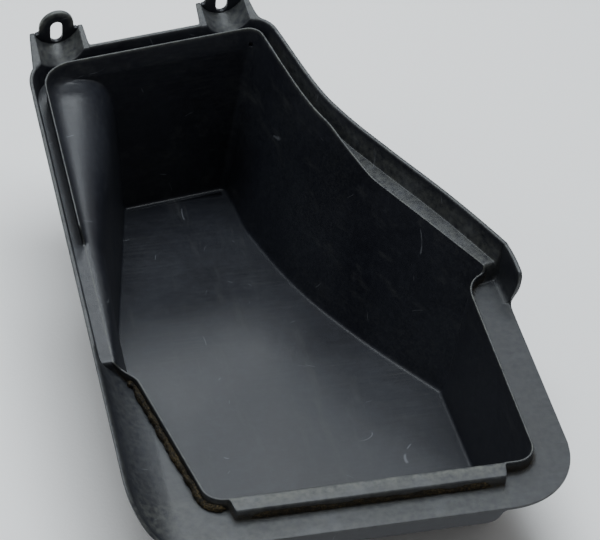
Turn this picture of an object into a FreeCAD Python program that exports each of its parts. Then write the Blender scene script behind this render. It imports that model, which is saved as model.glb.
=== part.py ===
"""Bed-side storage tub liner: one thin black moulding with a raised rim, two slotted mounting ears
and a foam seal round its front mouth.  Each zone of the moulding is a solid of its own.

Design frame, millimetres: the top face of the mounting flange is Z = 0, X runs to the right of the
centre of the flange, Y runs back from the flange's front edge.  At the end everything is tilted so
that the floor lies level, and moved so that the origin is at the middle of the base.
"""
import FreeCAD, Part
import math
import os

V = FreeCAD.Vector

# thicknesses
WALL = 2.5
LIP = 2.0
RIM = 3.2

# levels above the flange's top face
SHELF_Z = 16.0
LIP_Z = 33.0
RIM_Z = 36.0
FRONT_LIP_Z = 10.0

# floor: its slope against the flange and its level under the flange's front edge
FLOOR_SLOPE = 0.10
FLOOR_Z = -82.2

# cross-section of the shelf and rim, as distances outwards from the shelf's inner edge
SHELF_WIDTH = 10.3
RIM_BASE = 13.3
RIM_INNER_TOP = 13.8
RIM_OUTER_TOP = 17.0
LIP_LEAN = 3.0

# shelf's inner edge, seen from above
SHELF_LEFT_X = -150.5
SHELF_LEFT_END = 171.0
LIP_LEFT_END = 303.0
LIP_DIP_START = 392.0
LIP_DIP_END = 343.0
BACK_POINT = (-132.6, 500.2)
SKEW = math.radians(8.7)
BACK_LEFT_RADIUS = 26.0
BACK_RIGHT_RADIUS = 8.0
RIGHT_START_ANGLE = math.radians(10.4)
RIGHT_CURVE = [(46.6, 436.9), (61.1, 391.6), (87.0, 342.7), (118.0, 285.7), (148.5, 228.6)]
# how much wider the right shelf is at its start and at each of those points
RIGHT_WIDENING = [0.0, 1.8, 3.5, 2.7, 2.6, 0.0]

# floor outline, seen from above
FLOOR_BACK_LEFT = (-83.0, 500.0)
FLOOR_BACK_RIGHT = (9.0, 515.0)
FLOOR_CURVE = [(13.0, 480.0), (17.1, 443.7), (41.5, 360.0), (79.0, 283.0), (122.5, 211.6)]
FLOOR_FRONT_RIGHT = (121.5, 68.0)
FLOOR_FRONT_LEFT = (-94.0, 68.0)
FLOOR_KNEE = (-116.0, 158.0)
FLOOR_LEFT_MID = (-124.0, 303.0)
FLOOR_LEFT_FRONT = (-116.7, 171.0)
FLOOR_STEP = (124.0, 214.0)
FLOOR_CORNER = 8.0
FLOOR_BEND = 5.0

# left wall, section by section: floor x and y, x of the crown, x of the flat top, crown depth
LEFT_SECTIONS = [
    (-116.7, 171.0, -148.9, -150.0, 8.0),
    (-124.0, 303.0, -135.9, -147.5, 30.0),
    (-103.8, 400.0, -116.6, -143.0, 40.0),
    (-78.8, 520.0, -92.7, -127.0, 40.0),
]

# left edge of the back wall, where that crown runs into it: x and z
CREASE_FOOT = (-97.5, -26.0)
CREASE_CROWN_X = -99.2
CREASE_END_X = -131.0

# front mouth: the inner edge of the front lip
MOUTH_LEFT_TOP = (-134.0, 157.0)
MOUTH_LEFT_FOOT = (-112.5, 62.0)
MOUTH_FRONT_Y = 35.0
MOUTH_RIGHT_X = 131.4
MOUTH_RIGHT_TOP = 203.0
MOUTH_CORNER = 14.0
MOUTH_LEFT_END = (-145.5, 171.0)
MOUTH_LEFT_BEND = 10.0
MOUTH_RIGHT_END = (147.4, 229.0)
MOUTH_RIGHT_BEND = 12.0
LEDGE_LEFT = -92.0
LEDGE_RIGHT = 107.0
LEDGE_FRONT_Y = 21.5

# flange
FLANGE_RIGHT_X = 163.0
FLANGE_RIGHT_RADIUS = 55.0
COVE_RADIUS = 32.0
COVE_CORNER = (-124.5, 38.0)
COVE_FLAT = 8.0
COVE_NARROWING = 2.0
COVE_STEPS = 6
SKIRT_LEFT = -100.0
SKIRT_RIGHT = 98.0
SKIRT_DEPTH = 13.0
SKIRT_CORNER = 10.0
STEP_RIGHT = V(148.5, 228.6, 0)

# front end of the right rim: its foot on the flange and its top edge
RIM_END_FOOT = [V(157.6, 233.4, 0), V(158.8, 226.0, 0), V(161.3, 212.0, 0), V(163.0, 197.0, 0)]
RIM_END_TOP = [V(160.6, 235.1, 36), V(163.2, 226.0, 36), V(164.4, 212.0, 36), V(162.2, 194.0, 36)]

# ears
EAR_CENTRES = [("left", -135.3, 514.4), ("right", 10.0, 536.4)]
EAR_HALF_WIDTH = 23.2
EAR_LENGTH = 27.5
TROUGH_RADIUS = 20.4
TROUGH_CENTRE_Z = 44.4
TROUGH_WALL = 3.0
PLATE = 4.5
PLATE_RADIUS = 15.0
PLATE_CENTRE_Z = 40.0
SLOT_RADIUS = 5.0
SLOT_LOW_Z = 30.0
SLOT_HIGH_Z = 40.0

# drain hole through the back lip, just above the shelf: x and z, and its radius
DRAIN = (27.4, 17.8)
DRAIN_RADIUS = 1.6
DRAIN_REACH = 5.0

# foam seal round the front mouth
SEAL_WIDTH = 5.5
SEAL_HEIGHT = 8.0
SEAL_LEFT = (36.0, 160.0)
SEAL_THIN = 1.6
SEAL_FRONT_MARGIN = 12.0
SEAL_RIGHT = (52.0, 196.0)
SEAL_RIGHT_WIDTH = 2.5
SEAL_RIGHT_HEIGHT = 5.0

# longer than any piece, for cutting right through one
FAR = 120.0

nodes = {}


def floor_z(y):
    """Level of the floor's top face at distance y from the front edge."""
    return FLOOR_Z - FLOOR_SLOPE * y


def on_floor(point, drop=0.0):
    x, y = point
    return V(x, y, floor_z(y) - drop)


def at(point, z):
    return V(point[0], point[1], z)


# ---- outlines --------------------------------------------------------------------------------

BACK_ALONG = V(math.cos(SKEW), math.sin(SKEW), 0)
BACK_OUT = V(-math.sin(SKEW), math.cos(SKEW), 0)
RIGHT_ALONG = V(math.sin(RIGHT_START_ANGLE), -math.cos(RIGHT_START_ANGLE), 0)
RIGHT_OUT = V(math.cos(RIGHT_START_ANGLE), math.sin(RIGHT_START_ANGLE), 0)


def meet(p, along_p, q, along_q):
    """Point where two straight lines cross in plan."""
    gap = q - p
    across = along_p.x * along_q.y - along_p.y * along_q.x
    reach = (gap.x * along_q.y - gap.y * along_q.x) / across
    return p + along_p * reach


def corner_left_centre():
    p = V(SHELF_LEFT_X + BACK_LEFT_RADIUS, 0, 0)
    q = V(BACK_POINT[0], BACK_POINT[1], 0) - BACK_OUT * BACK_LEFT_RADIUS
    return meet(p, V(0, 1, 0), q, BACK_ALONG)


def corner_right_centre():
    p = V(BACK_POINT[0], BACK_POINT[1], 0) - BACK_OUT * BACK_RIGHT_RADIUS
    q = V(RIGHT_CURVE[0][0], RIGHT_CURVE[0][1], 0) - RIGHT_OUT * BACK_RIGHT_RADIUS
    return meet(p, BACK_ALONG, q, RIGHT_ALONG)


LEFT_CENTRE = corner_left_centre()
RIGHT_CENTRE = corner_right_centre()


def spline(points, start=None, end=None):
    curve = Part.BSplineCurve()
    if start is None:
        curve.interpolate(points)
    else:
        curve.interpolate(Points=points, InitialTangent=start, FinalTangent=end)
    return curve


def right_curve(offset, z):
    """Inner edge of the right shelf moved outwards, as one smooth edge.

    From the shelf's outer edge onwards it also bulges by the widening."""
    start = RIGHT_CENTRE + RIGHT_OUT * BACK_RIGHT_RADIUS
    base = [start] + [at(p, 0) for p in RIGHT_CURVE]
    curve = spline(base)
    moved = []
    for p, widening in zip(base, RIGHT_WIDENING):
        tangent = curve.tangent(curve.parameter(p))[0]
        reach = offset + widening if offset >= SHELF_WIDTH else offset
        moved.append(p + V(-tangent.y, tangent.x, 0) * reach + V(0, 0, z))
    return spline(moved)


def shelf_path(part, offset, z):
    """Edges of one stretch of the shelf's inner edge, moved outwards and lifted to z."""
    up = V(0, 0, z)
    left_r = BACK_LEFT_RADIUS + offset
    right_r = BACK_RIGHT_RADIUS + offset
    left_turn = LEFT_CENTRE + V(-left_r, 0, 0) + up
    left_back = LEFT_CENTRE + BACK_OUT * left_r + up
    right_back = RIGHT_CENTRE + BACK_OUT * right_r + up
    right_turn = RIGHT_CENTRE + RIGHT_OUT * right_r + up
    if part == "left":
        return [Part.LineSegment(V(SHELF_LEFT_X - offset, SHELF_LEFT_END, z), left_turn).toShape()]
    if part == "back_left":
        mid = (V(-1, 0, 0) + BACK_OUT).normalize()
        arc = Part.Arc(left_turn, LEFT_CENTRE + mid * left_r + up, left_back)
        return [arc.toShape()]
    if part == "back":
        return [Part.LineSegment(left_back, right_back).toShape()]
    if part == "back_right":
        mid = (BACK_OUT + RIGHT_OUT).normalize()
        arc = Part.Arc(right_back, RIGHT_CENTRE + mid * right_r + up, right_turn)
        return [arc.toShape()]
    return [right_curve(offset, z).toShape()]


def strip(inner, outer):
    """Closed wire between two paths that run the same way."""
    first = inner[0].firstVertex(True).Point
    last = inner[-1].lastVertex(True).Point
    outer_first = outer[0].firstVertex(True).Point
    outer_last = outer[-1].lastVertex(True).Point
    edges = list(inner)
    edges.append(Part.LineSegment(last, outer_last).toShape())
    edges += list(reversed(outer))
    edges.append(Part.LineSegment(outer_first, first).toShape())
    return Part.Wire(Part.__sortEdges__(edges))


def loft(wires):
    return Part.makeLoft(wires, True, True)


def shelf_ring(part, levels):
    """Solid along one stretch of the shelf; levels lists (z, inner offset, outer offset)."""
    wires = []
    for z, inner, outer in levels:
        wires.append(strip(shelf_path(part, inner, z), shelf_path(part, outer, z)))
    return loft(wires)


def line(*points):
    return [Part.LineSegment(a, b).toShape() for a, b in zip(points, points[1:])]


def panel(inner_low, outer_low, inner_high, outer_high):
    """Wall panel between a low and a high strip, each given by its inner and outer edge."""
    return loft([strip(inner_low, outer_low), strip(inner_high, outer_high)])


def prism(points, direction):
    wire = Part.makePolygon(list(points) + [points[0]])
    return Part.Face(wire).extrude(direction)


# ---- tub walls -------------------------------------------------------------------------------

WALL_TOP = SHELF_Z - WALL
BACK_RIGHT_TOP = meet(V(*BACK_POINT, 0), BACK_ALONG, V(*RIGHT_CURVE[0], 0), RIGHT_ALONG)


def back_plane():
    """Point, and unit normal pointing backwards, of the back wall's inner face."""
    foot = on_floor(FLOOR_BACK_LEFT)
    head = V(*BACK_POINT, SHELF_Z)
    normal = BACK_ALONG.cross(head - foot)
    normal.normalize()
    return foot, normal if normal.y > 0 else normal * -1


BACK_FOOT, BACK_NORMAL = back_plane()


def on_back(x, z):
    """Point of the back wall's inner face at a given x and z."""
    rest = BACK_NORMAL.x * (x - BACK_FOOT.x) + BACK_NORMAL.z * (z - BACK_FOOT.z)
    return V(x, BACK_FOOT.y - rest / BACK_NORMAL.y, z)


def under_floor():
    """Everything below the floor's underside."""
    drop = WALL * math.hypot(1.0, FLOOR_SLOPE)
    corners = [on_floor(p, drop) for p in [(-260, -50), (260, -50), (260, 650), (-260, 650)]]
    return prism(corners, V(0, 0, -60))


def behind_back():
    """Everything behind the back wall's inner face."""
    corners = [on_back(-260, -220), on_back(160, -220), on_back(160, 120), on_back(-260, 120)]
    return prism(corners, BACK_NORMAL * 120)


def left_profile(x_foot, y, x_crown, x_flat, depth, thickness):
    """One edge chain of the left wall's section: foot, straight wall, rounded crown, flat top."""
    top = SHELF_Z - thickness
    foot_z = floor_z(y)
    share = (top - depth - foot_z) / (top - foot_z)
    foot = V(x_foot - thickness, y, foot_z)
    crown = V(x_crown - thickness, y, top)
    shoulder = foot + (crown - foot) * share
    flat = V(x_flat - thickness, y, top)
    end = V(SHELF_LEFT_X, y, top)
    curve = Part.BezierCurve()
    curve.setPoles([shoulder, crown, flat])
    return [Part.LineSegment(foot, shoulder).toShape(), curve.toShape(),
            Part.LineSegment(flat, end).toShape()]


def left_section(x_foot, y, x_crown, x_flat, depth):
    inner = left_profile(x_foot, y, x_crown, x_flat, depth, 0.0)
    outer = left_profile(x_foot, y, x_crown, x_flat, depth, WALL)
    return strip(inner, outer)


def left_wall():
    """Wall that leans in towards the back, with a rounded crown that widens towards the back."""
    sections = [left_section(*row) for row in LEFT_SECTIONS]
    return loft(sections)


def back_wall():
    """Flat panel whose left edge follows the left wall's crown."""
    crease_foot = on_back(*CREASE_FOOT)
    crease_end = on_back(CREASE_END_X, WALL_TOP)
    crown = Part.BezierCurve()
    crown.setPoles([crease_foot, on_back(CREASE_CROWN_X, WALL_TOP), crease_end])
    left_foot = on_back(FLOOR_BACK_LEFT[0] - WALL, floor_z(FLOOR_BACK_LEFT[1]) - 2 * WALL)
    right_foot = on_back(FLOOR_BACK_RIGHT[0] + WALL, floor_z(FLOOR_BACK_RIGHT[1]) - 2 * WALL)
    right_top = on_back(BACK_RIGHT_TOP.x + WALL, WALL_TOP)
    edges = line(left_foot, crease_foot) + [crown.toShape()]
    edges += line(crease_end, right_top, right_foot, left_foot)
    face = Part.Face(Part.Wire(edges))
    return face.extrude(BACK_NORMAL * WALL).cut(under_floor())


def drain():
    """Bore that lets water out of the trough through the foot of the back lip."""
    start = V(*BACK_POINT, DRAIN[1])
    start += BACK_ALONG * ((DRAIN[0] - start.x) / BACK_ALONG.x)
    return Part.makeCylinder(DRAIN_RADIUS, 2 * DRAIN_REACH, start - BACK_OUT * DRAIN_REACH, BACK_OUT)


def moved_outwards(points, offset):
    """Open outline moved to its right-hand side, with its corners kept sharp."""
    lines = []
    for a, b in zip(points, points[1:]):
        along = (b - a).normalize()
        out = V(along.y, -along.x, 0)
        lines.append((a + out * offset, along, b + out * offset))
    moved = [lines[0][0]]
    for before, after in zip(lines, lines[1:]):
        moved.append(meet(before[0], before[1], after[0], after[1]))
    moved.append(lines[-1][2])
    return moved


def rounded(points, radii):
    """Edges of an open outline, one line and one arc for each inner corner in turn."""
    edges = []
    start = points[0]
    for before, corner, after, radius in zip(points, points[1:], points[2:], radii):
        back = (before - corner).normalize()
        on = (after - corner).normalize()
        half = math.acos(max(-1.0, min(1.0, back.dot(on)))) / 2
        reach = radius / math.tan(half)
        enter = corner + back * reach
        leave = corner + on * reach
        middle = (back + on).normalize()
        mid = corner + middle * (radius / math.sin(half) - radius)
        edges += line(start, enter)
        edges.append(Part.Arc(enter, mid, leave).toShape())
        start = leave
    return edges + line(start, points[-1])


def mouth_corners():
    """Inner edge of the front lip: down the left, across the front, back up the right."""
    top = V(*MOUTH_LEFT_TOP, 0)
    foot = V(*MOUTH_LEFT_FOOT, 0)
    left = meet(top, (foot - top).normalize(), V(0, MOUTH_FRONT_Y, 0), V(1, 0, 0))
    return [V(*MOUTH_LEFT_END, 0), top, left, V(MOUTH_RIGHT_X, MOUTH_FRONT_Y, 0),
            V(MOUTH_RIGHT_X, MOUTH_RIGHT_TOP, 0), V(*MOUTH_RIGHT_END, 0)]


def foot_corners():
    """The same six corners where the walls meet the floor, seen from above."""
    points = [FLOOR_LEFT_FRONT, FLOOR_KNEE, FLOOR_FRONT_LEFT, FLOOR_FRONT_RIGHT]
    points += [FLOOR_CURVE[-1], FLOOR_STEP]
    return [V(*p, 0) for p in points]


# corner radii along those two outlines; a bend the other way is negative
MOUTH_TURNS = [-MOUTH_LEFT_BEND, MOUTH_CORNER, MOUTH_CORNER, -MOUTH_RIGHT_BEND]
FOOT_TURNS = [-FLOOR_BEND, FLOOR_CORNER, FLOOR_CORNER, -FLOOR_BEND]


def turning_path(corners, turns, offset):
    """Ten edges round the mouth; outward corners grow with the offset, inward ones shrink."""
    radii = [turn + offset if turn > 0 else -turn - offset for turn in turns]
    return rounded(moved_outwards(corners, offset), radii)


def lifted(edges, z):
    return [e.translated(V(0, 0, z)) for e in edges]


def laid_on_floor(edges):
    """Edges of a flat outline sheared on to the sloping floor."""
    shear = FreeCAD.Matrix(1, 0, 0, 0, 0, 1, 0, 0, 0, -FLOOR_SLOPE, 1, FLOOR_Z, 0, 0, 0, 1)
    return [e.transformGeometry(shear).Edges[0] for e in edges]


MOUTH_SIDES = {"left": slice(0, 3), "front": slice(3, 6), "right": slice(6, 9)}


def mouth_wall(side):
    """Wall under one side of the mouth, from the floor up to the flange's top face."""
    part = MOUTH_SIDES[side]
    low = [laid_on_floor(turning_path(foot_corners(), FOOT_TURNS, d))[part] for d in (0, WALL)]
    high = [turning_path(mouth_corners(), MOUTH_TURNS, d)[part] for d in (0, WALL)]
    return panel(low[0], low[1], high[0], high[1])


def right_wall():
    """Wall along the S-shaped right side, from the floor up to the shelf."""
    heads = [RIGHT_CENTRE + RIGHT_OUT * BACK_RIGHT_RADIUS] + [at(p, 0) for p in RIGHT_CURVE]
    feet = [FLOOR_BACK_RIGHT] + FLOOR_CURVE
    curve = spline(heads)
    sections = []
    for head, foot in zip(heads, feet):
        tangent = curve.tangent(curve.parameter(head))[0]
        out = V(-tangent.y, tangent.x, 0).normalize() * WALL
        low = on_floor(foot)
        high = at(head, WALL_TOP)
        sections.append(Part.makePolygon([low, low + out, high + out, high, low]))
    return loft(sections)


def floor_pan():
    """Level floor of the tub, reaching under the walls by their thickness."""
    margin = WALL - 0.4
    foot = turning_path(foot_corners(), FOOT_TURNS, margin)[:9]
    right = [V(*FLOOR_CURVE[-1], 0)] + [V(*p, 0) for p in reversed(FLOOR_CURVE[:-1])]
    right = [p + V(margin, 0, 0) for p in right]
    last = foot[-1].lastVertex(True).Point
    right[0] = last
    corner = V(FLOOR_BACK_RIGHT[0] + margin, FLOOR_BACK_RIGHT[1], 0)
    far = V(FLOOR_BACK_LEFT[0] - margin, FLOOR_BACK_LEFT[1], 0)
    side = V(FLOOR_LEFT_MID[0] - margin, FLOOR_LEFT_MID[1], 0)
    first = foot[0].firstVertex(True).Point
    edges = foot + [spline(right).toShape()] + line(right[-1], corner, far, side, first)
    face = Part.Face(Part.Wire(laid_on_floor(Part.__sortEdges__(edges))))
    normal = V(0, FLOOR_SLOPE, 1).normalize()
    return face.extrude(normal * -WALL)


# ---- flange round the mouth ------------------------------------------------------------------

# how far a Bezier curve's handles reach when it stands for a quarter circle
ROUND = 0.5523


def cove_section(centre, angle, height, flat):
    """Section through the cove: flat foot, quarter curve, narrow rim top; angle 0 faces left."""
    out = V(-math.cos(angle), -math.sin(angle), 0)
    grow = height / RIM_Z
    reach = COVE_RADIUS + flat - COVE_NARROWING * math.sin(angle)
    far = reach + RIM * grow
    low = -WALL

    def point(r, z):
        return centre + out * r + V(0, 0, z)

    inner = Part.BezierCurve()
    inner.setPoles([point(flat, 0), point(flat + ROUND * (reach - flat), 0),
                    point(reach, height * (1 - ROUND)), point(reach, height)])
    outer = Part.BezierCurve()
    outer.setPoles([point(flat, low), point(flat + ROUND * (far - flat), low),
                    point(far, height - ROUND * (height - low)), point(far, height)])
    edges = [inner.toShape(), outer.toShape()]
    edges += line(point(flat, low), point(flat, 0))
    edges += line(point(reach, height), point(far, height))
    return Part.Wire(Part.__sortEdges__(edges))


COVE_CENTRE = V(COVE_CORNER[0], COVE_CORNER[1], 0)


def cove_left():
    """Straight cove along the left edge of the flange."""
    centre = V(COVE_CORNER[0], SHELF_LEFT_END, 0)
    near = cove_section(centre, 0.0, RIM_Z, COVE_FLAT)
    far = cove_section(COVE_CENTRE, 0.0, RIM_Z, COVE_FLAT)
    return loft([near, far])


def cove_corner():
    """The cove turns the front left corner while its top edge sinks to the flange."""
    sections = []
    for step in range(COVE_STEPS + 1):
        angle = math.pi / 2 * step / COVE_STEPS
        height = max(RIM_Z * math.cos(angle) ** 3, 1.0)
        sections.append(cove_section(COVE_CENTRE, angle, height, COVE_FLAT))
    return loft(sections)


def mouth_prism(offset, low, high):
    """Everything inside the mouth's inner edge, moved outwards by an offset."""
    edges = turning_path(mouth_corners(), MOUTH_TURNS, offset)
    first = edges[0].firstVertex(True).Point
    last = edges[-1].lastVertex(True).Point
    corners = [last, V(last.x, 300, 0), V(first.x, 300, 0), first]
    wire = Part.Wire(Part.__sortEdges__(edges + line(*corners)))
    return Part.Face(wire).extrude(V(0, 0, high - low)).translated(V(0, 0, low))


def ledge_box(margin, low, high):
    """Block round the flat ledge in front of the mouth."""
    depth = MOUTH_FRONT_Y - LEDGE_FRONT_Y + margin + 4.0
    base = V(LEDGE_LEFT - margin, LEDGE_FRONT_Y - margin, low)
    return Part.makeBox(LEDGE_RIGHT - LEDGE_LEFT + 2 * margin, depth, high - low, base)


def plate(edges):
    """Flat flange plate, its top face at Z = 0, clear of the mouth walls and the ledge."""
    wire = Part.Wire(Part.__sortEdges__(edges))
    body = Part.Face(wire).extrude(V(0, 0, -WALL))
    body = body.cut(mouth_prism(WALL, -30, 30))
    return body.cut(ledge_box(0.0, -30, 30))


def flange_left():
    x = COVE_CORNER[0] - COVE_FLAT
    y = COVE_CORNER[1]
    points = [V(x, y, 0), V(-90, y, 0), V(-90, SHELF_LEFT_END, 0), V(x, SHELF_LEFT_END, 0)]
    return plate(line(*points, points[0]))


def flange_front():
    x, y = COVE_CORNER
    r = COVE_FLAT
    radius = FLANGE_RIGHT_RADIUS
    centre = V(FLANGE_RIGHT_X - radius, radius, 0)
    slant = math.sqrt(0.5)
    left_arc = Part.Arc(V(x - r, y, 0), V(x - r * slant, y - r * slant, 0), V(x, y - r, 0))
    right_arc = Part.Arc(V(centre.x, 0, 0), centre + V(slant, -slant, 0) * radius,
                         V(FLANGE_RIGHT_X, radius, 0))
    edges = [left_arc.toShape()] + line(V(x, y - r, 0), V(x, 0, 0), V(centre.x, 0, 0))
    edges.append(right_arc.toShape())
    edges += line(V(FLANGE_RIGHT_X, radius, 0), V(100, radius, 0), V(100, y, 0), V(x - r, y, 0))
    return plate(edges)


def flange_right():
    y = FLANGE_RIGHT_RADIUS
    edges = line(V(100, y, 0), V(FLANGE_RIGHT_X, y, 0), RIM_END_FOOT[3])
    edges += [spline(RIM_END_FOOT).toShape()]
    edges += line(RIM_END_FOOT[0], STEP_RIGHT, V(100, STEP_RIGHT.y, 0), V(100, y, 0))
    return plate(edges)


def mouth_lip(side):
    """Thin upright lip standing round the mouth."""
    part = MOUTH_SIDES[side]
    low = [turning_path(mouth_corners(), MOUTH_TURNS, d)[part] for d in (0.0, LIP)]
    body = panel(low[0], low[1], lifted(low[0], FRONT_LIP_Z), lifted(low[1], FRONT_LIP_Z))
    return body.cut(ledge_box(0.0, -1, 30))


def front_ledge():
    """Flat ledge in front of the mouth: an upside-down channel with closed ends."""
    block = ledge_box(0.0, 0, FRONT_LIP_Z)
    back = V(LEDGE_LEFT, MOUTH_FRONT_Y, -1)
    block = block.cut(Part.makeBox(LEDGE_RIGHT - LEDGE_LEFT, 20, 40, back))
    inside = ledge_box(-LIP, -1, FRONT_LIP_Z - LIP)
    behind = V(LEDGE_LEFT, MOUTH_FRONT_Y - LIP, -1)
    inside = inside.cut(Part.makeBox(LEDGE_RIGHT - LEDGE_LEFT, 20, 40, behind))
    return block.cut(inside)


def skirt():
    """Narrow apron hanging below the front edge, with rounded lower corners."""
    low = -WALL - SKIRT_DEPTH
    r = SKIRT_CORNER
    slant = r * (1 - math.sqrt(0.5))
    a, b = SKIRT_LEFT, SKIRT_RIGHT
    left = Part.Arc(V(a, 0, low + r), V(a + slant, 0, low + slant), V(a + r, 0, low))
    right = Part.Arc(V(b - r, 0, low), V(b - slant, 0, low + slant), V(b, 0, low + r))
    edges = [left.toShape(), right.toShape()] + line(V(a + r, 0, low), V(b - r, 0, low))
    edges += line(V(b, 0, low + r), V(b, 0, -WALL), V(a, 0, -WALL), V(a, 0, low + r))
    return Part.Face(Part.Wire(Part.__sortEdges__(edges))).extrude(V(0, WALL, 0))


def step_left():
    """Upright end face under the front end of the left shelf."""
    start = V(SHELF_LEFT_X, SHELF_LEFT_END, -WALL)
    return Part.makeBox(SHELF_WIDTH + RIM, WALL, SHELF_Z, start - V(SHELF_WIDTH + RIM, 0, 0))


def step_right():
    """Upright end face under the front end of the right shelf."""
    along = RIM_END_FOOT[0] - STEP_RIGHT
    across = V(-along.y, along.x, 0).normalize() * WALL
    corners = [STEP_RIGHT, STEP_RIGHT + along, STEP_RIGHT + along + across, STEP_RIGHT + across]
    return prism([p + V(0, 0, -WALL) for p in corners], V(0, 0, SHELF_Z))


def rim_end():
    """Front end of the right rim, curling in on to the flange."""
    foot = [p - V(0, 0, WALL) for p in RIM_END_FOOT]
    out_foot = [p + V(WALL, 1.2, 0) for p in foot]
    out_high = [p + V(RIM * 0.9, 1.5, 0) for p in RIM_END_TOP]
    return panel([spline(foot).toShape()], [spline(out_foot).toShape()],
                 [spline(RIM_END_TOP).toShape()], [spline(out_high).toShape()])


# ---- ears ------------------------------------------------------------------------------------


def ear_outline(top):
    """Section through an ear: side faces, and an underside that follows the trough."""
    r = TROUGH_RADIUS + TROUGH_WALL
    drop = math.sqrt(r * r - EAR_HALF_WIDTH * EAR_HALF_WIDTH)
    side = TROUGH_CENTRE_Z - max(drop, TROUGH_CENTRE_Z - RIM_Z + 3.0)
    reach = math.sqrt(r * r - (TROUGH_CENTRE_Z - side) ** 2)
    arc = Part.Arc(V(reach, 0, side), V(0, 0, TROUGH_CENTRE_Z - r), V(-reach, 0, side))
    points = [V(-reach, 0, side), V(-EAR_HALF_WIDTH, 0, side), V(-EAR_HALF_WIDTH, 0, top)]
    points += [V(EAR_HALF_WIDTH, 0, top), V(EAR_HALF_WIDTH, 0, side), V(reach, 0, side)]
    return Part.Face(Part.Wire(Part.__sortEdges__([arc.toShape()] + line(*points))))


def skew_slab(x, y, start, end):
    """Slab between two planes that run parallel to the back rim."""
    origin = V(x, y, 0)
    far = V(0, end, 0)
    near = V(0, start, 0)
    half = BACK_ALONG * 80
    corners = [origin - half + near, origin + half + near, origin + half + far,
               origin - half + far]
    return prism([p - V(0, 0, 20) for p in corners], V(0, 0, 100))


def ear_block(x, y, start, end, top):
    body = ear_outline(top).translated(V(x, y - FAR / 2, 0)).extrude(V(0, FAR, 0))
    return body.common(skew_slab(x, y, start, end))


def rod(radius, x, y, z):
    """Long cylinder that runs back to front at the given x and z."""
    return Part.makeCylinder(radius, FAR, V(x, y - FAR / 2, z), V(0, 1, 0))


def ear(x, y):
    """Saddle-shaped ear with a round trough for the fastener."""
    trough = rod(TROUGH_RADIUS, x, y, TROUGH_CENTRE_Z)
    return ear_block(x, y, 0, EAR_LENGTH, RIM_Z).cut(trough)


def ear_plate(x, y):
    """Upright plate closing the trough, arched at the top, with an upright slot."""
    body = ear_block(x, y, EAR_LENGTH, EAR_LENGTH + PLATE, RIM_Z)
    slab = skew_slab(x, y, EAR_LENGTH, EAR_LENGTH + PLATE)
    neck = Part.makeBox(2 * PLATE_RADIUS, FAR, 10,
                        V(x - PLATE_RADIUS, y - FAR / 2, PLATE_CENTRE_Z - 10))
    arch = rod(PLATE_RADIUS, x, y, PLATE_CENTRE_Z)
    body = body.fuse([neck.common(slab), arch.common(slab)]).removeSplitter()
    low = rod(SLOT_RADIUS, x, y, SLOT_LOW_Z)
    high = rod(SLOT_RADIUS, x, y, SLOT_HIGH_Z)
    middle = Part.makeBox(2 * SLOT_RADIUS, FAR, SLOT_HIGH_Z - SLOT_LOW_Z,
                          V(x - SLOT_RADIUS, y - FAR / 2, SLOT_LOW_Z))
    return body.cut([low, middle, high])


# ---- foam seal -------------------------------------------------------------------------------


def seal(side, low, high, width, height):
    """Stretch of foam laid on the flange against the outside of the lip, between two y levels."""
    part = MOUTH_SIDES[side]
    inner = turning_path(mouth_corners(), MOUTH_TURNS, LIP)[part]
    outer = turning_path(mouth_corners(), MOUTH_TURNS, LIP + width)[part]
    body = panel(inner, outer, lifted(inner, height), lifted(outer, height))
    return body.common(Part.makeBox(400, high - low, 60, V(-200, low, -20)))


def front_seal():
    """Thin skin of foam on the front face of the ledge."""
    base = V(LEDGE_LEFT + SEAL_FRONT_MARGIN, LEDGE_FRONT_Y - SEAL_THIN, 0)
    width = LEDGE_RIGHT - LEDGE_LEFT - 2 * SEAL_FRONT_MARGIN
    return Part.makeBox(width, SEAL_THIN, SEAL_HEIGHT, base)


# ---- assembly --------------------------------------------------------------------------------


def place(name, shape):
    """Keep a piece, trimmed where it would run into a piece that is already there."""
    for other in nodes.values():
        if shape.BoundBox.intersect(other.BoundBox):
            shape = shape.cut(other)
    nodes[name] = max(shape.Solids, key=lambda solid: solid.Volume)


def place_shelf():
    """Shelf, upright lip and outer rim, stretch by stretch round the back of the tub."""
    names = {"left": "left", "back_left": "corner_left", "back": "back",
             "back_right": "corner_right", "right": "right"}
    level = [(WALL_TOP, 0.0, SHELF_WIDTH), (SHELF_Z, 0.0, SHELF_WIDTH)]
    upright = [(SHELF_Z, 0.0, LIP), (LIP_Z, LIP_LEAN, LIP_LEAN + LIP)]
    outer = [(WALL_TOP, SHELF_WIDTH, RIM_BASE), (RIM_Z, RIM_INNER_TOP, RIM_OUTER_TOP)]
    left_front = Part.makeBox(400, LIP_LEFT_END, FAR, V(-400, 0, 0))
    dip = [V(0, 0, 0), V(0, LIP_DIP_END, SHELF_Z), V(0, LIP_DIP_START, LIP_Z)]
    dip += [V(0, LIP_DIP_START, FAR), V(0, 0, FAR)]
    right_front = prism(dip, V(300, 0, 0))
    ear_room = [ear_block(*ear[1:], 0, EAR_LENGTH + PLATE, RIM_Z + 1) for ear in EAR_CENTRES]
    for part, name in names.items():
        place("shelf_" + name, shelf_ring(part, level))
        place("lip_" + name, shelf_ring(part, upright).cut([left_front, right_front, drain()]))
        place("rim_" + name, shelf_ring(part, outer).cut(ear_room))


def place_tub():
    behind = behind_back()
    corner = shelf_ring("back_left", [(WALL_TOP, 0.0, 40.0), (SHELF_Z + 1, 0.0, 40.0)])
    place("back_wall", back_wall())
    place("floor_pan", floor_pan().cut(behind))
    place("left_wall", left_wall().cut([behind, corner]))
    place("right_rear_wall", right_wall().cut(behind))
    place("left_front_wall", mouth_wall("left"))
    place("front_wall", mouth_wall("front"))
    place("right_front_wall", mouth_wall("right"))


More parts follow.
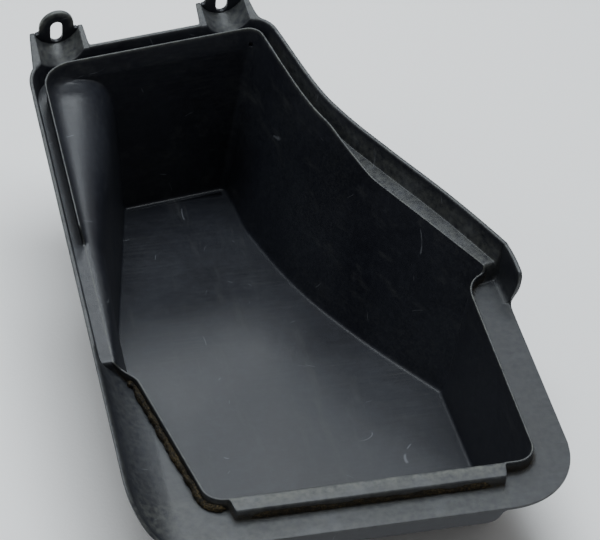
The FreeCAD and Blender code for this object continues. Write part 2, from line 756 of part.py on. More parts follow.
def place_flange():
    front = mouth_lip("front")
    left_half = Part.makeBox(300, 300, 60, V(-300, 0, -1))
    place("mouth_lip_left", mouth_lip("left").fuse(front.common(left_half)))
    place("mouth_lip_right", mouth_lip("right").fuse(front.cut(left_half)))
    place("front_ledge", front_ledge())
    place("cove_left", cove_left())
    place("cove_corner", cove_corner())
    place("flange_left", flange_left())
    place("flange_front", flange_front())
    place("flange_right", flange_right())
    place("skirt", skirt())
    place("step_left", step_left())
    place("step_right", step_right())
    place("rim_end", rim_end())


def place_ears():
    for side, x, y in EAR_CENTRES:
        place("ear_" + side, ear(x, y))
        place("ear_plate_" + side, ear_plate(x, y))


def place_seals():
    place("seal_left", seal("left", *SEAL_LEFT, SEAL_WIDTH, SEAL_HEIGHT))
    place("seal_front", front_seal())
    place("seal_right", seal("right", *SEAL_RIGHT, SEAL_RIGHT_WIDTH, SEAL_RIGHT_HEIGHT))


def level_and_centre():
    """Turn the part until its floor is level and put the origin at the middle of its base."""
    angle = math.degrees(math.atan(FLOOR_SLOPE))
    for shape in nodes.values():
        shape.rotate(V(0, 0, 0), V(1, 0, 0), angle)
    box = FreeCAD.BoundBox()
    for shape in nodes.values():
        box.add(shape.optimalBoundingBox(False))
    shift = V(-(box.XMin + box.XMax) / 2, -(box.YMin + box.YMax) / 2, -box.ZMin)
    for shape in nodes.values():
        shape.translate(shift)


place_shelf()
place_tub()
place_flange()
place_ears()
place_seals()
level_and_centre()
os.makedirs("parts", exist_ok=True)
for name, shape in nodes.items():
    shape.exportStep("parts/" + name + ".step")
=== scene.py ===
"""Looks for the side storage tub liner: a thin black moulding, its two ear plates and foam strips.

The moulding is lofted round the tub.  Each station is a section through the moulding, a list of
points in the design frame: millimetres, Z = 0 on the flange's top face, Y = 0 on its front edge.
to_row() turns a point into the row frame, where the floor lies level.
"""

import math

import bmesh
import bpy
from mathutils import Matrix, Vector, noise


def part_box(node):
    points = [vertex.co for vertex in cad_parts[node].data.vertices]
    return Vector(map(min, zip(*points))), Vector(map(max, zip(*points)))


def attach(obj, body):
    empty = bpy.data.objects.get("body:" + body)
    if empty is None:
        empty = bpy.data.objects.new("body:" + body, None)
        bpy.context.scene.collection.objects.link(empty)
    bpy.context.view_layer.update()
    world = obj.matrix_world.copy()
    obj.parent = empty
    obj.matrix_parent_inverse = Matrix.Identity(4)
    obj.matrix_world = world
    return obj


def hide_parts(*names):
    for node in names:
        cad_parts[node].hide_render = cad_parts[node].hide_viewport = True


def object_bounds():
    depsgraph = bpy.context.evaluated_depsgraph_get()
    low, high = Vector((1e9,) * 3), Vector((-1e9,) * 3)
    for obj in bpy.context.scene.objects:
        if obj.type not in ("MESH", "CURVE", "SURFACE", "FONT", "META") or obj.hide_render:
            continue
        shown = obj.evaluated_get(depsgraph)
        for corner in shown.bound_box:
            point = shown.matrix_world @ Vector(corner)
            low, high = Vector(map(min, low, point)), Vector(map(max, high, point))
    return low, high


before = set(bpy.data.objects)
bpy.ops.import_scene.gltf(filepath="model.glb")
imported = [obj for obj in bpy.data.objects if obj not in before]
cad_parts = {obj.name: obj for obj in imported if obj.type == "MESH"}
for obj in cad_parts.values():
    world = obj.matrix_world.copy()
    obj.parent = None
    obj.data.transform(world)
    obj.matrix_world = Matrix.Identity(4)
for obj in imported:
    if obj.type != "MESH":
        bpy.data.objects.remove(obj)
cad_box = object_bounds()

# ---- driving sizes, as in the CAD ------------------------------------------------------------

WALL = 2.5
LIP = 2.0
BAND = 3.2
SHELF_Z = 16.0
LIP_RISE = 17.0
RIM_Z = 36.0
MOUTH_LIP = 10.0
MOUTH_LIP_LEAN = 0.3
FLOOR_SLOPE = 0.10
FLOOR_Z = -82.2
SHELF_WIDTH = 10.3
RIM_LEAN = 3.5
LIP_LEAN = 3.0
SKEW = math.radians(8.7)
TILT = math.atan(FLOOR_SLOPE)
FLOOR_INSET = 4.0

SHELF_LEFT_X = -150.5
SHELF_LEFT_END = 171.0
LIP_LEFT_END = 303.0
LIP_DIP = (343.0, 392.0)
BACK_POINT = Vector((-132.6, 500.2))
BACK_LEFT_RADIUS = 26.0
BACK_RIGHT_RADIUS = 8.0
FLOOR_BACK_LEFT = Vector((-83.0, 500.0))
FLOOR_BACK_RIGHT = Vector((9.0, 515.0))
RIGHT_CURVE = [(46.6, 436.9), (61.1, 391.6), (87.0, 342.7), (118.0, 285.7), (148.5, 228.6)]
RIGHT_WIDENING = [0.0, 1.8, 3.5, 2.7, 2.6, 0.0]
FLOOR_CURVE = [(13.0, 480.0), (17.1, 443.7), (41.5, 360.0), (79.0, 283.0), (122.5, 212.4)]
RIGHT_START_ANGLE = math.radians(10.4)
STEP_ALONG = Vector((0.988, 0.155))
STEP_TURN_START = 0.85
DRAIN_X, DRAIN_Z, DRAIN_RADIUS = 27.4, 17.8, 1.6
DRAIN_REACH = 5.0

EARS = {"left": (-135.3, 514.4), "right": (10.0, 536.4)}
EAR_HALF_WIDTH = 23.2
EAR_DEPTH = 32.0
EAR_SKIN = 3.0
TROUGH_RADIUS = 20.4
TROUGH_CENTRE_Z = 44.4
PLATE_RADIUS = 15.0
PLATE_CENTRE_Z = 40.0
SLOT_RADIUS = 5.0
SLOT_Z = (30.0, 40.0)

MOUTH_RADIUS = 14.0
MOUTH_RIGHT_X = 131.4
MOUTH_FRONT_Y = 35.0
MOUTH_LEFT_CORNER = Vector((-106.4, 35.0))
MOUTH_LEFT_TOP = Vector((-134.0, 157.0))
LEDGE = (-92.0, 107.0)
LEDGE_WIDTH = 13.5
FOOT_RADIUS = 6.0
FLOOR_FRONT_Y = 68.0
FLOOR_FRONT_X = (-89.3, 121.5)
FLANGE_RIGHT_X = 163.0
FLANGE_RADIUS = 55.0
EDGE_REACH = 5.4
EDGE_BAND = 0.15
COVE_CENTRE = Vector((-124.5, 38.0))
COVE_FLAT = 8.0
COVE_RADIUS = 32.0
SKIRT = (-100.0, 98.0)
SKIRT_DEPTH = 13.0

BACK_ALONG = Vector((math.cos(SKEW), math.sin(SKEW)))
BACK_OUT = Vector((-math.sin(SKEW), math.cos(SKEW)))
RIGHT_OUT = Vector((math.cos(RIGHT_START_ANGLE), math.sin(RIGHT_START_ANGLE)))
LEFT = Vector((-1.0, 0.0))
RIGHT = Vector((1.0, 0.0))
FRONT = Vector((0.0, -1.0))


def turned(x, y, z):
    """A design point turned until the floor lies level, still in millimetres."""
    c, s = math.cos(TILT), math.sin(TILT)
    return Vector((x, y * c - z * s, y * s + z * c))


def row_shift():
    """How far the turned design frame lies from the row frame, read from the skirt's box."""
    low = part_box("skirt")[0] * 1000
    side = turned(SKIRT[0], 0, -WALL)
    bottom = turned(SKIRT[0], 0, -WALL - SKIRT_DEPTH)
    return low - Vector((side.x, side.y, bottom.z))


SHIFT = row_shift()


def to_row(p):
    """A design point in the row frame, in metres."""
    return (turned(p[0], p[1], p[2]) + SHIFT) / 1000


# ---- small geometry helpers ------------------------------------------------------------------


def at(plan, z):
    """Point above a plan point."""
    return Vector((plan[0], plan[1], z))


def floor_z(plan):
    """Level of the floor's top face, which slopes in the design frame."""
    return FLOOR_Z - FLOOR_SLOPE * plan[1]


def mix(a, b, t):
    """Value or point at share t of the way from a to b."""
    return a + (b - a) * t


def tangent_centre(corner, n1, n2, radius):
    """Centre of the circle that rounds a corner between two sides with outward normals n1, n2."""
    return corner - (n1 + n2) * (radius / (1 + n1.dot(n2)))


def turn(n1, n2, t):
    """Unit normal turning evenly from n1 to n2."""
    a = math.atan2(n1.y, n1.x)
    gap = (math.atan2(n2.y, n2.x) - a + math.pi) % (2 * math.pi) - math.pi
    return Vector((math.cos(a + gap * t), math.sin(a + gap * t)))


def smooth_path(points, t):
    """Point at t (0 to 1) on a smooth curve through the points, and its unit direction."""
    pts = [Vector(p) for p in points]
    pts = [pts[0] * 2 - pts[1]] + pts + [pts[-1] * 2 - pts[-2]]
    spans = len(pts) - 3
    i = min(int(t * spans), spans - 1)
    u = t * spans - i
    a, b, c, d = pts[i:i + 4]
    place = 0.5 * (2 * b + (c - a) * u + (2 * a - 5 * b + 4 * c - d) * u ** 2
                   + (3 * b - a - 3 * c + d) * u ** 3)
    along = 0.5 * ((c - a) + 2 * (2 * a - 5 * b + 4 * c - d) * u
                   + 3 * (3 * b - a - 3 * c + d) * u ** 2)
    return place, along.normalized()


def steps(start, end, count):
    """Evenly spaced values from start to end."""
    return [start + (end - start) * i / (count - 1) for i in range(count)]


# ---- one section -----------------------------------------------------------------------------
# A section runs from the floor up the wall, over the lip, across the shelf or flange, up the
# rim, over its top and down the outside to the underside of the shelf or flange.

WALL_SHARES = (0.25, 0.45, 0.62, 0.74, 0.83, 0.9)
WALL_BEND = 4.0
LIP_SOFT = 0.7
LIP_CROWN = 0.35
FAR_BELOW = -99
FLAT_END = 1.2
UNDERSIDE_START = 1.6


def straight_wall(foot, head):
    """Wall points from the floor to just under the head, in a straight line."""
    low = at(foot, floor_z(foot))
    up = (head - low).normalized()
    middle = [mix(low, head, share) for share in WALL_SHARES]
    return [low, low + up * WALL_BEND] + middle + [head - up * WALL_BEND]


def lip_rows(head, out, rise, width, lean, ground):
    """Upright lip: inner face, rounded top, outer face, and the fillet at its foot."""

    def p(d, z):
        plan = head.to_2d() + out * d
        return at(plan, max(z, ground(plan)))

    top = head.z + rise
    soft = min(LIP_SOFT, rise / 3)
    return [p(lean, top - soft), p(lean + LIP_CROWN, top), p(lean + width - LIP_CROWN, top),
            p(lean + width, top - soft), p(width, min(top, head.z + 1.0)),
            p(width + 0.25, head.z), p(width + 1.3, FAR_BELOW)]


def rim_rows(rise, lean):
    """Upright rim from the shelf's outer edge: (reach, height) pairs above the shelf."""
    return [(0, 0), (0.2, 1.3), (lean * 0.5, rise * 0.5), (lean - 0.1, rise - 1.0), (lean + 0.2, rise)]


def cove_rows(radius, height, start=0.0):
    """Quarter round from flat to upright; start is the angle already used up by the flat."""
    rows = []
    for share in (0.0, 0.25, 0.5, 0.76, 1.0):
        angle = start + (math.pi / 2 - start) * share
        rows.append((radius * math.sin(angle) - radius * math.sin(start),
                     height * (math.cos(start) - math.cos(angle))))
    return rows


def edge_rows(reach):
    """Plain flange edge: (reach, height) pairs, all at the flange's level."""
    return [(0, 0), (reach * 0.5, 0), (reach * 0.8, 0), (reach - 0.6, 0), (reach - 0.3, 0)]


def outer_rim(reach, band, top, under):
    """Outside of an upright rim, from the band's outer corner down to the underside."""
    low = reach + band - RIM_LEAN * 0.95
    return [(reach + band, top - 0.8), (reach + band - 0.6, top - 4.0),
            (mix(reach + band, low, 0.5), mix(top, under, 0.5)), (low, under + 0.7), (low - 0.8, under)]


def outer_edge(reach, under, skirt=0.0):
    """Outside of a plain flange edge, with the skirt hanging below it where there is one."""
    foot = under - skirt
    return [(reach, -0.7), (reach, foot + 0.5), (reach - min(WALL, 0.4 + skirt), foot + 0.1),
            (reach - WALL + 0.1, under - min(0.4, skirt)), (reach - WALL - 1.0, under)]


def outer_cove(radius, height, band, under):
    """Outside of the cove, its thickness below the quarter round."""
    wide = radius + band
    rows = [(wide, height - 0.8)]
    for angle in (1.25, 0.85, 0.4):
        rows.append((wide * math.sin(angle), under + (height - under) * (1 - math.cos(angle))))
    return rows + [(0.0, under)]


def section(wall, head, out, lip, ground, edge, rise, band, outer, under):
    """All points of one section.

    lip is (rise, width, lean), edge is (plan point, outward direction) where the flat ends, rise
    and outer are (reach, height) pairs from there, and under is the level of the underside."""
    plan, away = edge
    base = ground(plan)
    inside = wall + [head] + lip_rows(head, out, *lip, ground)
    before = plan - away * FLAT_END
    inside.append(at(before, ground(before)))
    inside += [at(plan + away * r, base + z) for r, z in rise]
    last_r, last_z = rise[-1]
    inside.append(at(plan + away * (last_r + band), base + last_z))
    inside += [at(plan + away * r, z) for r, z in outer]
    near = head.to_2d() + out * (WALL + UNDERSIDE_START)
    return inside + [at(near, under)]


# ---- the shelf side: left, back and right ----------------------------------------------------

LEFT_CENTRE = tangent_centre(
    Vector((SHELF_LEFT_X, BACK_POINT.y + math.tan(SKEW) * (SHELF_LEFT_X - BACK_POINT.x))),
    LEFT, BACK_OUT, BACK_LEFT_RADIUS)


def right_centre():
    """Centre of the small arc that joins the back shelf to the S-shaped right shelf."""
    start = Vector(RIGHT_CURVE[0])
    along = Vector((RIGHT_OUT.y, -RIGHT_OUT.x))
    gap = start - BACK_POINT
    across = BACK_ALONG.x * along.y - BACK_ALONG.y * along.x
    reach = (gap.x * along.y - gap.y * along.x) / across
    corner = BACK_POINT + BACK_ALONG * reach
    return tangent_centre(corner, BACK_OUT, RIGHT_OUT, BACK_RIGHT_RADIUS)


RIGHT_CENTRE = right_centre()
FLOOR_CENTRE = tangent_centre(FLOOR_BACK_RIGHT, BACK_OUT, RIGHT_OUT, FOOT_RADIUS)
RIM_INNER = SHELF_WIDTH + RIM_LEAN
# row just above the rim's foot, counted from the wall's foot
RIM_FOOT_ROW = 19


def shelf_ground(_plan):
    """Level of the shelf, the same everywhere."""
    return SHELF_Z


def back_wall_y(x, z):
    """Y of the back wall's inner face, a plane through the floor's back edge and the shelf."""
    foot = at(FLOOR_BACK_LEFT, floor_z(FLOOR_BACK_LEFT))
    head = at(BACK_POINT, SHELF_Z)
    normal = at(BACK_ALONG, 0).cross(head - foot)
    return foot.y - (normal.x * (x - foot.x) + normal.z * (z - foot.z)) / normal.y


def interpolated(table, y):
    """Values at y from a short table of (y, value, value, ...) rows."""
    for low, high in zip(table, table[1:]):
        if y <= high[0] or high is table[-1]:
            t = (y - low[0]) / (high[0] - low[0])
            return [mix(a, b, t) for a, b in zip(low[1:], high[1:])]


# left wall by y: x of the foot, of the crown's control point and of the shelf, and crown depth
LEFT_SHAPE = [
    (SHELF_LEFT_END, -116.7, -148.9, -150.0, 8.0),
    (LIP_LEFT_END, -124.0, -135.9, -147.0, 30.0),
    (400.0, -103.8, -116.6, -141.0, 40.0),
    (520.0, -78.8, -92.7, -126.0, 41.0),
]


STRAIGHT_SHARES = (0.0, 0.035, 0.35, 0.7, 1.0)
WALL_ROWS = 9
CORNER_SHARE = 0.8


def left_wall_point(y, row):
    """One row of the left wall at y: straight up from the floor, then a rounded crown."""
    foot_x, crown_x, flat_x, depth = interpolated(LEFT_SHAPE, y)
    foot = Vector((foot_x, y, FLOOR_Z - FLOOR_SLOPE * y))
    crown = Vector((crown_x, y, SHELF_Z))
    shoulder = mix(foot, crown, (SHELF_Z - depth - foot.z) / (SHELF_Z - foot.z))
    flat = Vector((flat_x, y, SHELF_Z))
    if row < len(STRAIGHT_SHARES):
        return mix(foot, shoulder, STRAIGHT_SHARES[row])
    t = (row - 4) / 4
    return shoulder * (1 - t) ** 2 + crown * (2 * t * (1 - t)) + flat * t ** 2


def left_wall_rows(y, share):
    """Left wall rows at y; share moves them towards the back wall, where it is 1."""
    rows = []
    for row in range(WALL_ROWS):
        p = left_wall_point(y, row)
        for _ in range(3):
            p = left_wall_point(mix(y, back_wall_y(p.x, p.z), share), row)
        rows.append(p)
    return rows


def ear_at(x):
    """The ear, if any, that stands at this x: its centre x and the y of its front face there."""
    for centre_x, centre_y in EARS.values():
        if abs(x - centre_x) <= EAR_HALF_WIDTH:
            return centre_x, centre_y + (x - centre_x) * math.tan(SKEW)
    return None


def trough_z(u):
    """Level of an ear's round trough, u to the side of its middle."""
    if abs(u) >= TROUGH_RADIUS:
        return RIM_Z
    return min(RIM_Z, TROUGH_CENTRE_Z - math.sqrt(TROUGH_RADIUS ** 2 - u * u))


def shelf_section(wall, plan, out, rise, widening=0.0):
    """Section with the shelf, an upright lip where rise is above zero, and the outer rim."""
    lip = (rise, LIP, LIP_LEAN * rise / LIP_RISE)
    height = RIM_Z - SHELF_Z
    edge = (plan + out * (SHELF_WIDTH + widening), out)
    outer = outer_rim(RIM_LEAN, BAND, RIM_Z, SHELF_Z - WALL)
    return section(wall, at(plan, SHELF_Z), out, lip, shelf_ground, edge,
                   rim_rows(height, RIM_LEAN), BAND, outer, SHELF_Z - WALL)


def ear_section(wall, plan, out, x, rise):
    """Section through an ear: the rim's top becomes the bottom of the trough and runs back."""
    centre_x, front_y = ear_at(x)
    top = trough_z(x - centre_x)
    rows = shelf_section(wall, plan, out, rise)
    base = rows[RIM_FOOT_ROW - 1]
    inner = Vector((x, (plan + out * RIM_INNER).y, top))
    under = Vector((x, (plan + out * (RIM_INNER + BAND)).y, top - EAR_SKIN - 0.4))
    back = Vector((x, front_y + EAR_DEPTH, top))
    rows[RIM_FOOT_ROW:RIM_FOOT_ROW + 8] = [
        at(base, SHELF_Z + 1.3), mix(base, inner, 0.5),
        mix(base, inner, 1 - 1.0 / (top - SHELF_Z)), inner + Vector((0, 0.4, 0)),
        back - Vector((0, 0.4, 0)), back - Vector((0, 0, 0.8)),
        back - Vector((0, 0, EAR_SKIN)), under]
    return rows


def back_head(x):
    """Shelf head point and outward direction for the rim point at x, along corner, back, corner."""
    reach = BACK_LEFT_RADIUS + RIM_INNER
    left_end = LEFT_CENTRE + BACK_OUT * reach
    if x < left_end.x:
        cosine = (LEFT_CENTRE.x - x) / reach
        out = Vector((-cosine, math.sqrt(max(0.0, 1 - cosine * cosine))))
        return LEFT_CENTRE + out * BACK_LEFT_RADIUS, out
    reach = BACK_RIGHT_RADIUS + RIM_INNER
    right_start = RIGHT_CENTRE + BACK_OUT * reach
    if x > right_start.x:
        cosine = (x - RIGHT_CENTRE.x) / reach
        out = Vector((cosine, math.sqrt(max(0.0, 1 - cosine * cosine))))
        return RIGHT_CENTRE + out * BACK_RIGHT_RADIUS, out
    foot = BACK_POINT + BACK_OUT * RIM_INNER
    return BACK_POINT + BACK_ALONG * ((x - foot.x) / BACK_ALONG.x), BACK_OUT


EAR_CLEAR = 0.7
EAR_STEPS = (-23.1, -22.0, -19.6, -18.6, -17.2, -14.0, -9.5, -4.8, 0.0,
             4.8, 9.5, 14.0, 17.2, 18.6, 19.6, 22.0, 23.1)


def back_xs():
    """Rim x of every station from the left corner to the right corner."""
    left_x, right_x = EARS["left"][0], EARS["right"][0]
    xs = [LEFT_CENTRE.x - (BACK_LEFT_RADIUS + RIM_INNER) * math.cos(math.radians(a))
          for a in (0, 9, 17, 24, 29)]
    xs += [left_x - EAR_HALF_WIDTH - EAR_CLEAR]
    xs += [left_x + u for u in EAR_STEPS]
    xs += [left_x + EAR_HALF_WIDTH + EAR_CLEAR, left_x + EAR_HALF_WIDTH + 3]
    xs += steps(left_x + 36, right_x - 36, 7)
    xs += [right_x - EAR_HALF_WIDTH - 3, right_x - EAR_HALF_WIDTH - EAR_CLEAR]
    xs += [right_x + u for u in EAR_STEPS]
    xs += [right_x + EAR_HALF_WIDTH + EAR_CLEAR]
    xs += [RIGHT_CENTRE.x + (BACK_RIGHT_RADIUS + RIM_INNER) * math.cos(math.radians(a))
           for a in (50, 37, 24)]
    return xs


def left_sections():
    """Along the left side; the lip starts part of the way back."""
    ys = [SHELF_LEFT_END + 0.4, 174.5, 186, 210, 236, 262, 284, 298, LIP_LEFT_END - 1.2,
          LIP_LEFT_END, 307, 318, 336, 358, 382, 405, 428, 448, 462, 470]
    rows = []
    for y in ys:
        rise = LIP_RISE if y >= LIP_LEFT_END else 0.0
        rows.append(shelf_section(left_wall_rows(y, 0.0), Vector((SHELF_LEFT_X, y)), LEFT, rise))
    return rows


def back_sections():
    """Left corner, back and right corner; the left wall meets the back wall in a crease."""
    rows = []
    crease_x = LEFT_CENTRE.x + BACK_OUT.x * BACK_LEFT_RADIUS
    crease = left_wall_rows(FLOOR_BACK_LEFT.y, 1.0)
    right_plan = RIGHT_CENTRE + BACK_OUT * BACK_RIGHT_RADIUS
    far = straight_wall(FLOOR_CENTRE + BACK_OUT * FOOT_RADIUS, at(right_plan, SHELF_Z))
    crease_done = False
    for x in back_xs():
        plan, out = back_head(x)
        if plan.x < crease_x - 0.5:
            share = max(0.0, (plan.y - LEFT_CENTRE.y)) / (BACK_POINT.y - LEFT_CENTRE.y)
            wall = left_wall_rows(LEFT_CENTRE.y, min(share, CORNER_SHARE))
        elif plan.x <= right_plan.x:
            share = (plan.x - crease_x) / (right_plan.x - crease_x)
            if not crease_done:
                share, crease_done = 0.0, True
            wall = [mix(a, b, share) for a, b in zip(crease, far)]
        else:
            wall = straight_wall(FLOOR_CENTRE + out * FOOT_RADIUS, at(plan, SHELF_Z))
        if ear_at(x):
            rows.append(ear_section(wall, plan, out, x, LIP_RISE))
        else:
            rows.append(shelf_section(wall, plan, out, LIP_RISE))
    return rows


def right_sections():
    """Along the S-shaped side; the lip sinks into the shelf part of the way along."""
    heads = [RIGHT_CENTRE + RIGHT_OUT * BACK_RIGHT_RADIUS] + RIGHT_CURVE
    feet = [FLOOR_CENTRE + RIGHT_OUT * FOOT_RADIUS] + FLOOR_CURVE
    wider = list(enumerate(RIGHT_WIDENING))
    rows = []
    for t in steps(0.0, STEP_TURN_START, 24) + [0.88, 0.91, 0.935, 0.955, 0.975, 0.99, 1.0]:
        plan, along = smooth_path(heads, t)
        foot, _ = smooth_path(feet, t)
        out = Vector((-along.y, along.x))
        out = turn(out, STEP_ALONG, max(0.0, (t - STEP_TURN_START) / (1 - STEP_TURN_START)))
        dip = (plan.y - LIP_DIP[0]) / (LIP_DIP[1] - LIP_DIP[0])
        rise = LIP_RISE * max(0.0, min(1.0, dip))
        widening = smooth_path(wider, t)[0].y
        wall = straight_wall(foot, at(plan, SHELF_Z))
        rows.append(shelf_section(wall, plan, out, rise, widening))
    return rows


# ---- the mouth side: right flange, front, left flange ----------------------------------------


def mouth_ground(plan):
    """Top face of the flange: flat, but climbing the cove on the left."""
    over = COVE_CENTRE.x - COVE_FLAT - plan[0]
    if over <= 0 or plan[1] < COVE_CENTRE.y:
        return 0.0
    return RIM_Z * (1 - math.cos(math.asin(min(1.0, over / COVE_RADIUS))))


def mouth_section(foot, plan, out, edge, rise, band, outer, width=LIP):
    """Section with the mouth's lip, as wide as stated, and the flange."""
    head = at(plan, 0.0)
    lip = (MOUTH_LIP, width, MOUTH_LIP_LEAN)
    return section(straight_wall(foot, head), head, out, lip, mouth_ground, edge,
                   rise, band, outer, -WALL)


def plain_edge(skirt=0.0):
    """Rise, band and outside of a flange edge without a rim, and with a skirt where stated."""
    return edge_rows(EDGE_REACH), EDGE_BAND, outer_edge(EDGE_REACH, -WALL, skirt)


CURL = [(146.3, 227.6), (143.3, 226.3), (139.6, 223.9), (136.6, 220.6), (134.3, 216.8),
        (132.4, 212.0), (131.5, 206.5)]
CURL_RIM = [(156.5, 229.8), (157.0, 226.5), (157.5, 222.5), (157.9, 218.0), (158.2, 213.5),
            (158.3, 208.5), (158.3, 204.5)]
CURL_FOOT = (Vector((122.5, 211.9)), Vector((122.3, 205.5)))
CURL_START_WIDTH = 4.5
RIM_END_REACH = 5.7


def curl_sections():
    """From the right shelf's end round the curl of the lip; the rim ends on the flange."""
    rows = []
    last = len(CURL) - 1
    rise = [(0, 0), (3.0, 1.0), (5.0, 4.5), (RIM_END_REACH - 0.1, RIM_Z - 1.0),
            (RIM_END_REACH, RIM_Z)]
    outer = outer_rim(RIM_END_REACH, BAND, RIM_Z, -WALL)
    for i, (p, e) in enumerate(zip(CURL, CURL_RIM)):
        plan = Vector(p)
        if i == 0:
            out, away, width = STEP_ALONG, STEP_ALONG, CURL_START_WIDTH
        else:
            before, after = Vector(CURL[i - 1]), Vector(CURL[min(i + 1, last)])
            along = (after - before).normalized()
            out, away, width = Vector((-along.y, along.x)), RIGHT, LIP
        foot = mix(*CURL_FOOT, i / last)
        rows.append(mouth_section(foot, plan, out, (Vector(e), away), rise, BAND, outer, width))
    return rows


# rim's end: y on the flange, y at the rim's foot, y at its top, and its height
RIM_END = [(203.5, 203.5, 203.5, 36.0), (202.3, 203.0, 200.0, 36.0), (201.3, 202.6, 197.4, 35.4),
           (200.5, 202.4, 195.6, 33.0), (199.7, 202.2, 194.6, 28.0), (199.0, 202.0, 196.0, 18.0),
           (198.2, 201.7, 200.0, 7.0), (197.4, 201.0, 201.2, 1.2)]


RIGHT_FOOT_Y = (FLOOR_FRONT_Y + FOOT_RADIUS, 204)
RIGHT_LIP_Y = (MOUTH_FRONT_Y + MOUTH_RADIUS, 202)
RIGHT_FOOT_LEAN = 160


def right_flange_foot(y):
    """Where the right wall stands on the floor, below the lip's point at y."""
    share = (y - RIGHT_LIP_Y[0]) / (RIGHT_LIP_Y[1] - RIGHT_LIP_Y[0])
    foot_y = mix(*RIGHT_FOOT_Y, share)
    return Vector((FLOOR_FRONT_X[1] + (foot_y - RIGHT_FOOT_Y[0]) / RIGHT_FOOT_LEAN, foot_y))


def rim_end_sections():
    """The rim stops above the flange in a rounded end that leans forwards."""
    rows = []
    for y, foot_y, top_y, height in RIM_END:
        share = height / RIM_Z
        reach = mix(5.3, RIM_END_REACH, share)
        rise = [(0, 0), (3.0, share), (mix(4.6, 5.0, share), 4.5 * share),
                (reach - 0.1, height * 0.96), (reach, height)]
        band = mix(0.3, BAND, min(1.0, share * 2))
        outer = outer_rim(reach, band, height, -WALL)
        if share < 0.1:
            outer = outer_edge(reach + band, -WALL)
        edge = (Vector((FLANGE_RIGHT_X - EDGE_REACH + 0.7 * share, foot_y)), RIGHT)
        plan = Vector((MOUTH_RIGHT_X, y))
        station = mouth_section(right_flange_foot(y), plan, RIGHT, edge, rise, band, outer)
        for p in station[RIM_FOOT_ROW:]:
            if p.x > edge[0].x:
                p.y += (top_y - foot_y) * max(0.0, min(1.0, p.z / height))
        rows.append(station)
    return rows


def right_flange_sections():
    """Straight right side: a plain edge from the rim's end to the front corner."""
    rows = rim_end_sections()
    for y in (194, 188, 176, 158, 138, 118, 98, 78, 66, 58, 52):
        edge = (Vector((FLANGE_RIGHT_X - EDGE_REACH, y)), RIGHT)
        rows.append(mouth_section(right_flange_foot(y), Vector((MOUTH_RIGHT_X, y)), RIGHT, edge,
                                  *plain_edge()))
    return rows


SKIRT_ROUND = 10.0


def skirt_at(x):
    """Depth of the skirt at x: nothing past its ends, rounded near them."""
    ends = min(x - SKIRT[0], SKIRT[1] - x)
    if ends <= 0:
        return 0.0
    near = max(0.0, SKIRT_ROUND - ends)
    return SKIRT_DEPTH - (SKIRT_ROUND - math.sqrt(max(0.0, SKIRT_ROUND ** 2 - near * near)))


def front_right_sections():
    """Front right corner: the mouth's small arc faces the flange's large one."""
    mouth = Vector((MOUTH_RIGHT_X - MOUTH_RADIUS, MOUTH_FRONT_Y + MOUTH_RADIUS))
    foot = Vector((FLOOR_FRONT_X[1] - FOOT_RADIUS, FLOOR_FRONT_Y + FOOT_RADIUS))
    flange = Vector((FLANGE_RIGHT_X - FLANGE_RADIUS, FLANGE_RADIUS))
    rows = []
    for t in steps(0.0, 1.0, 10):
        out = turn(RIGHT, FRONT, t)
        edge = (flange + out * (FLANGE_RADIUS - EDGE_REACH), out)
        rows.append(mouth_section(foot + out * FOOT_RADIUS, mouth + out * MOUTH_RADIUS, out, edge,
                                  *plain_edge()))
    return rows


FRONT_END_X = -94.0
FRONT_EDGE_END_X = -106.0


def front_sections():
    """Front: plain lip, then the wide flat ledge, with the skirt under the flange's edge."""
    start, end = MOUTH_RIGHT_X - MOUTH_RADIUS, FRONT_END_X
    low, high = LEDGE
    xs = [113.0, high + 3, high + 0.5, high - 0.5, high - 3, 101.0, 98.5, 97.5, 96.0, 93.0, 88.0]
    xs += steps(76.0, -70.0, 14)
    xs += [-80.0, -86.0, low + 3, low + 0.5, low - 0.5]
    rows = []
    for x in xs:
        share = (x - start) / (end - start)
        foot_x = mix(FLOOR_FRONT_X[1] - FOOT_RADIUS, FLOOR_FRONT_X[0], share)
        foot = Vector((foot_x, FLOOR_FRONT_Y))
        width = LEDGE_WIDTH if low < x < high else LIP
        edge_x = mix(FLANGE_RIGHT_X - FLANGE_RADIUS, FRONT_EDGE_END_X, share)
        edge = (Vector((edge_x, EDGE_REACH)), FRONT)
        rows.append(mouth_section(foot, Vector((x, MOUTH_FRONT_Y)), FRONT, edge,
                                  *plain_edge(skirt_at(edge_x)), width))
    return rows


UP_LEFT = (MOUTH_LEFT_TOP - MOUTH_LEFT_CORNER).normalized()
MOUTH_SIDE = Vector((-UP_LEFT.y, UP_LEFT.x))
MOUTH_LEFT_CENTRE = tangent_centre(MOUTH_LEFT_CORNER, FRONT, MOUTH_SIDE, MOUTH_RADIUS)


def front_left_sections():
    """Front left corner: the cove's rim climbs out of the flange's front edge."""
    foot = Vector((FLOOR_FRONT_X[0], FLOOR_FRONT_Y + FOOT_RADIUS))
    rows = []
    for t in steps(0.0, 1.0, 13):
        out = turn(FRONT, MOUTH_SIDE, t)
        away = turn(FRONT, LEFT, t)
        height = max(0.3, RIM_Z * math.sin(t * math.pi / 2) ** 3)
        reach = mix(COVE_RADIUS - 2.0, COVE_RADIUS, t)
        band = max(0.15, BAND * min(1.0, height / 12.0))
        edge = (COVE_CENTRE + away * COVE_FLAT, away)
        outer = outer_cove(reach, height, band, -WALL)
        plan = MOUTH_LEFT_CENTRE + out * MOUTH_RADIUS
        rows.append(mouth_section(foot + out * FOOT_RADIUS, plan, out, edge,
                                  cove_rows(reach, height), band, outer))
    return rows


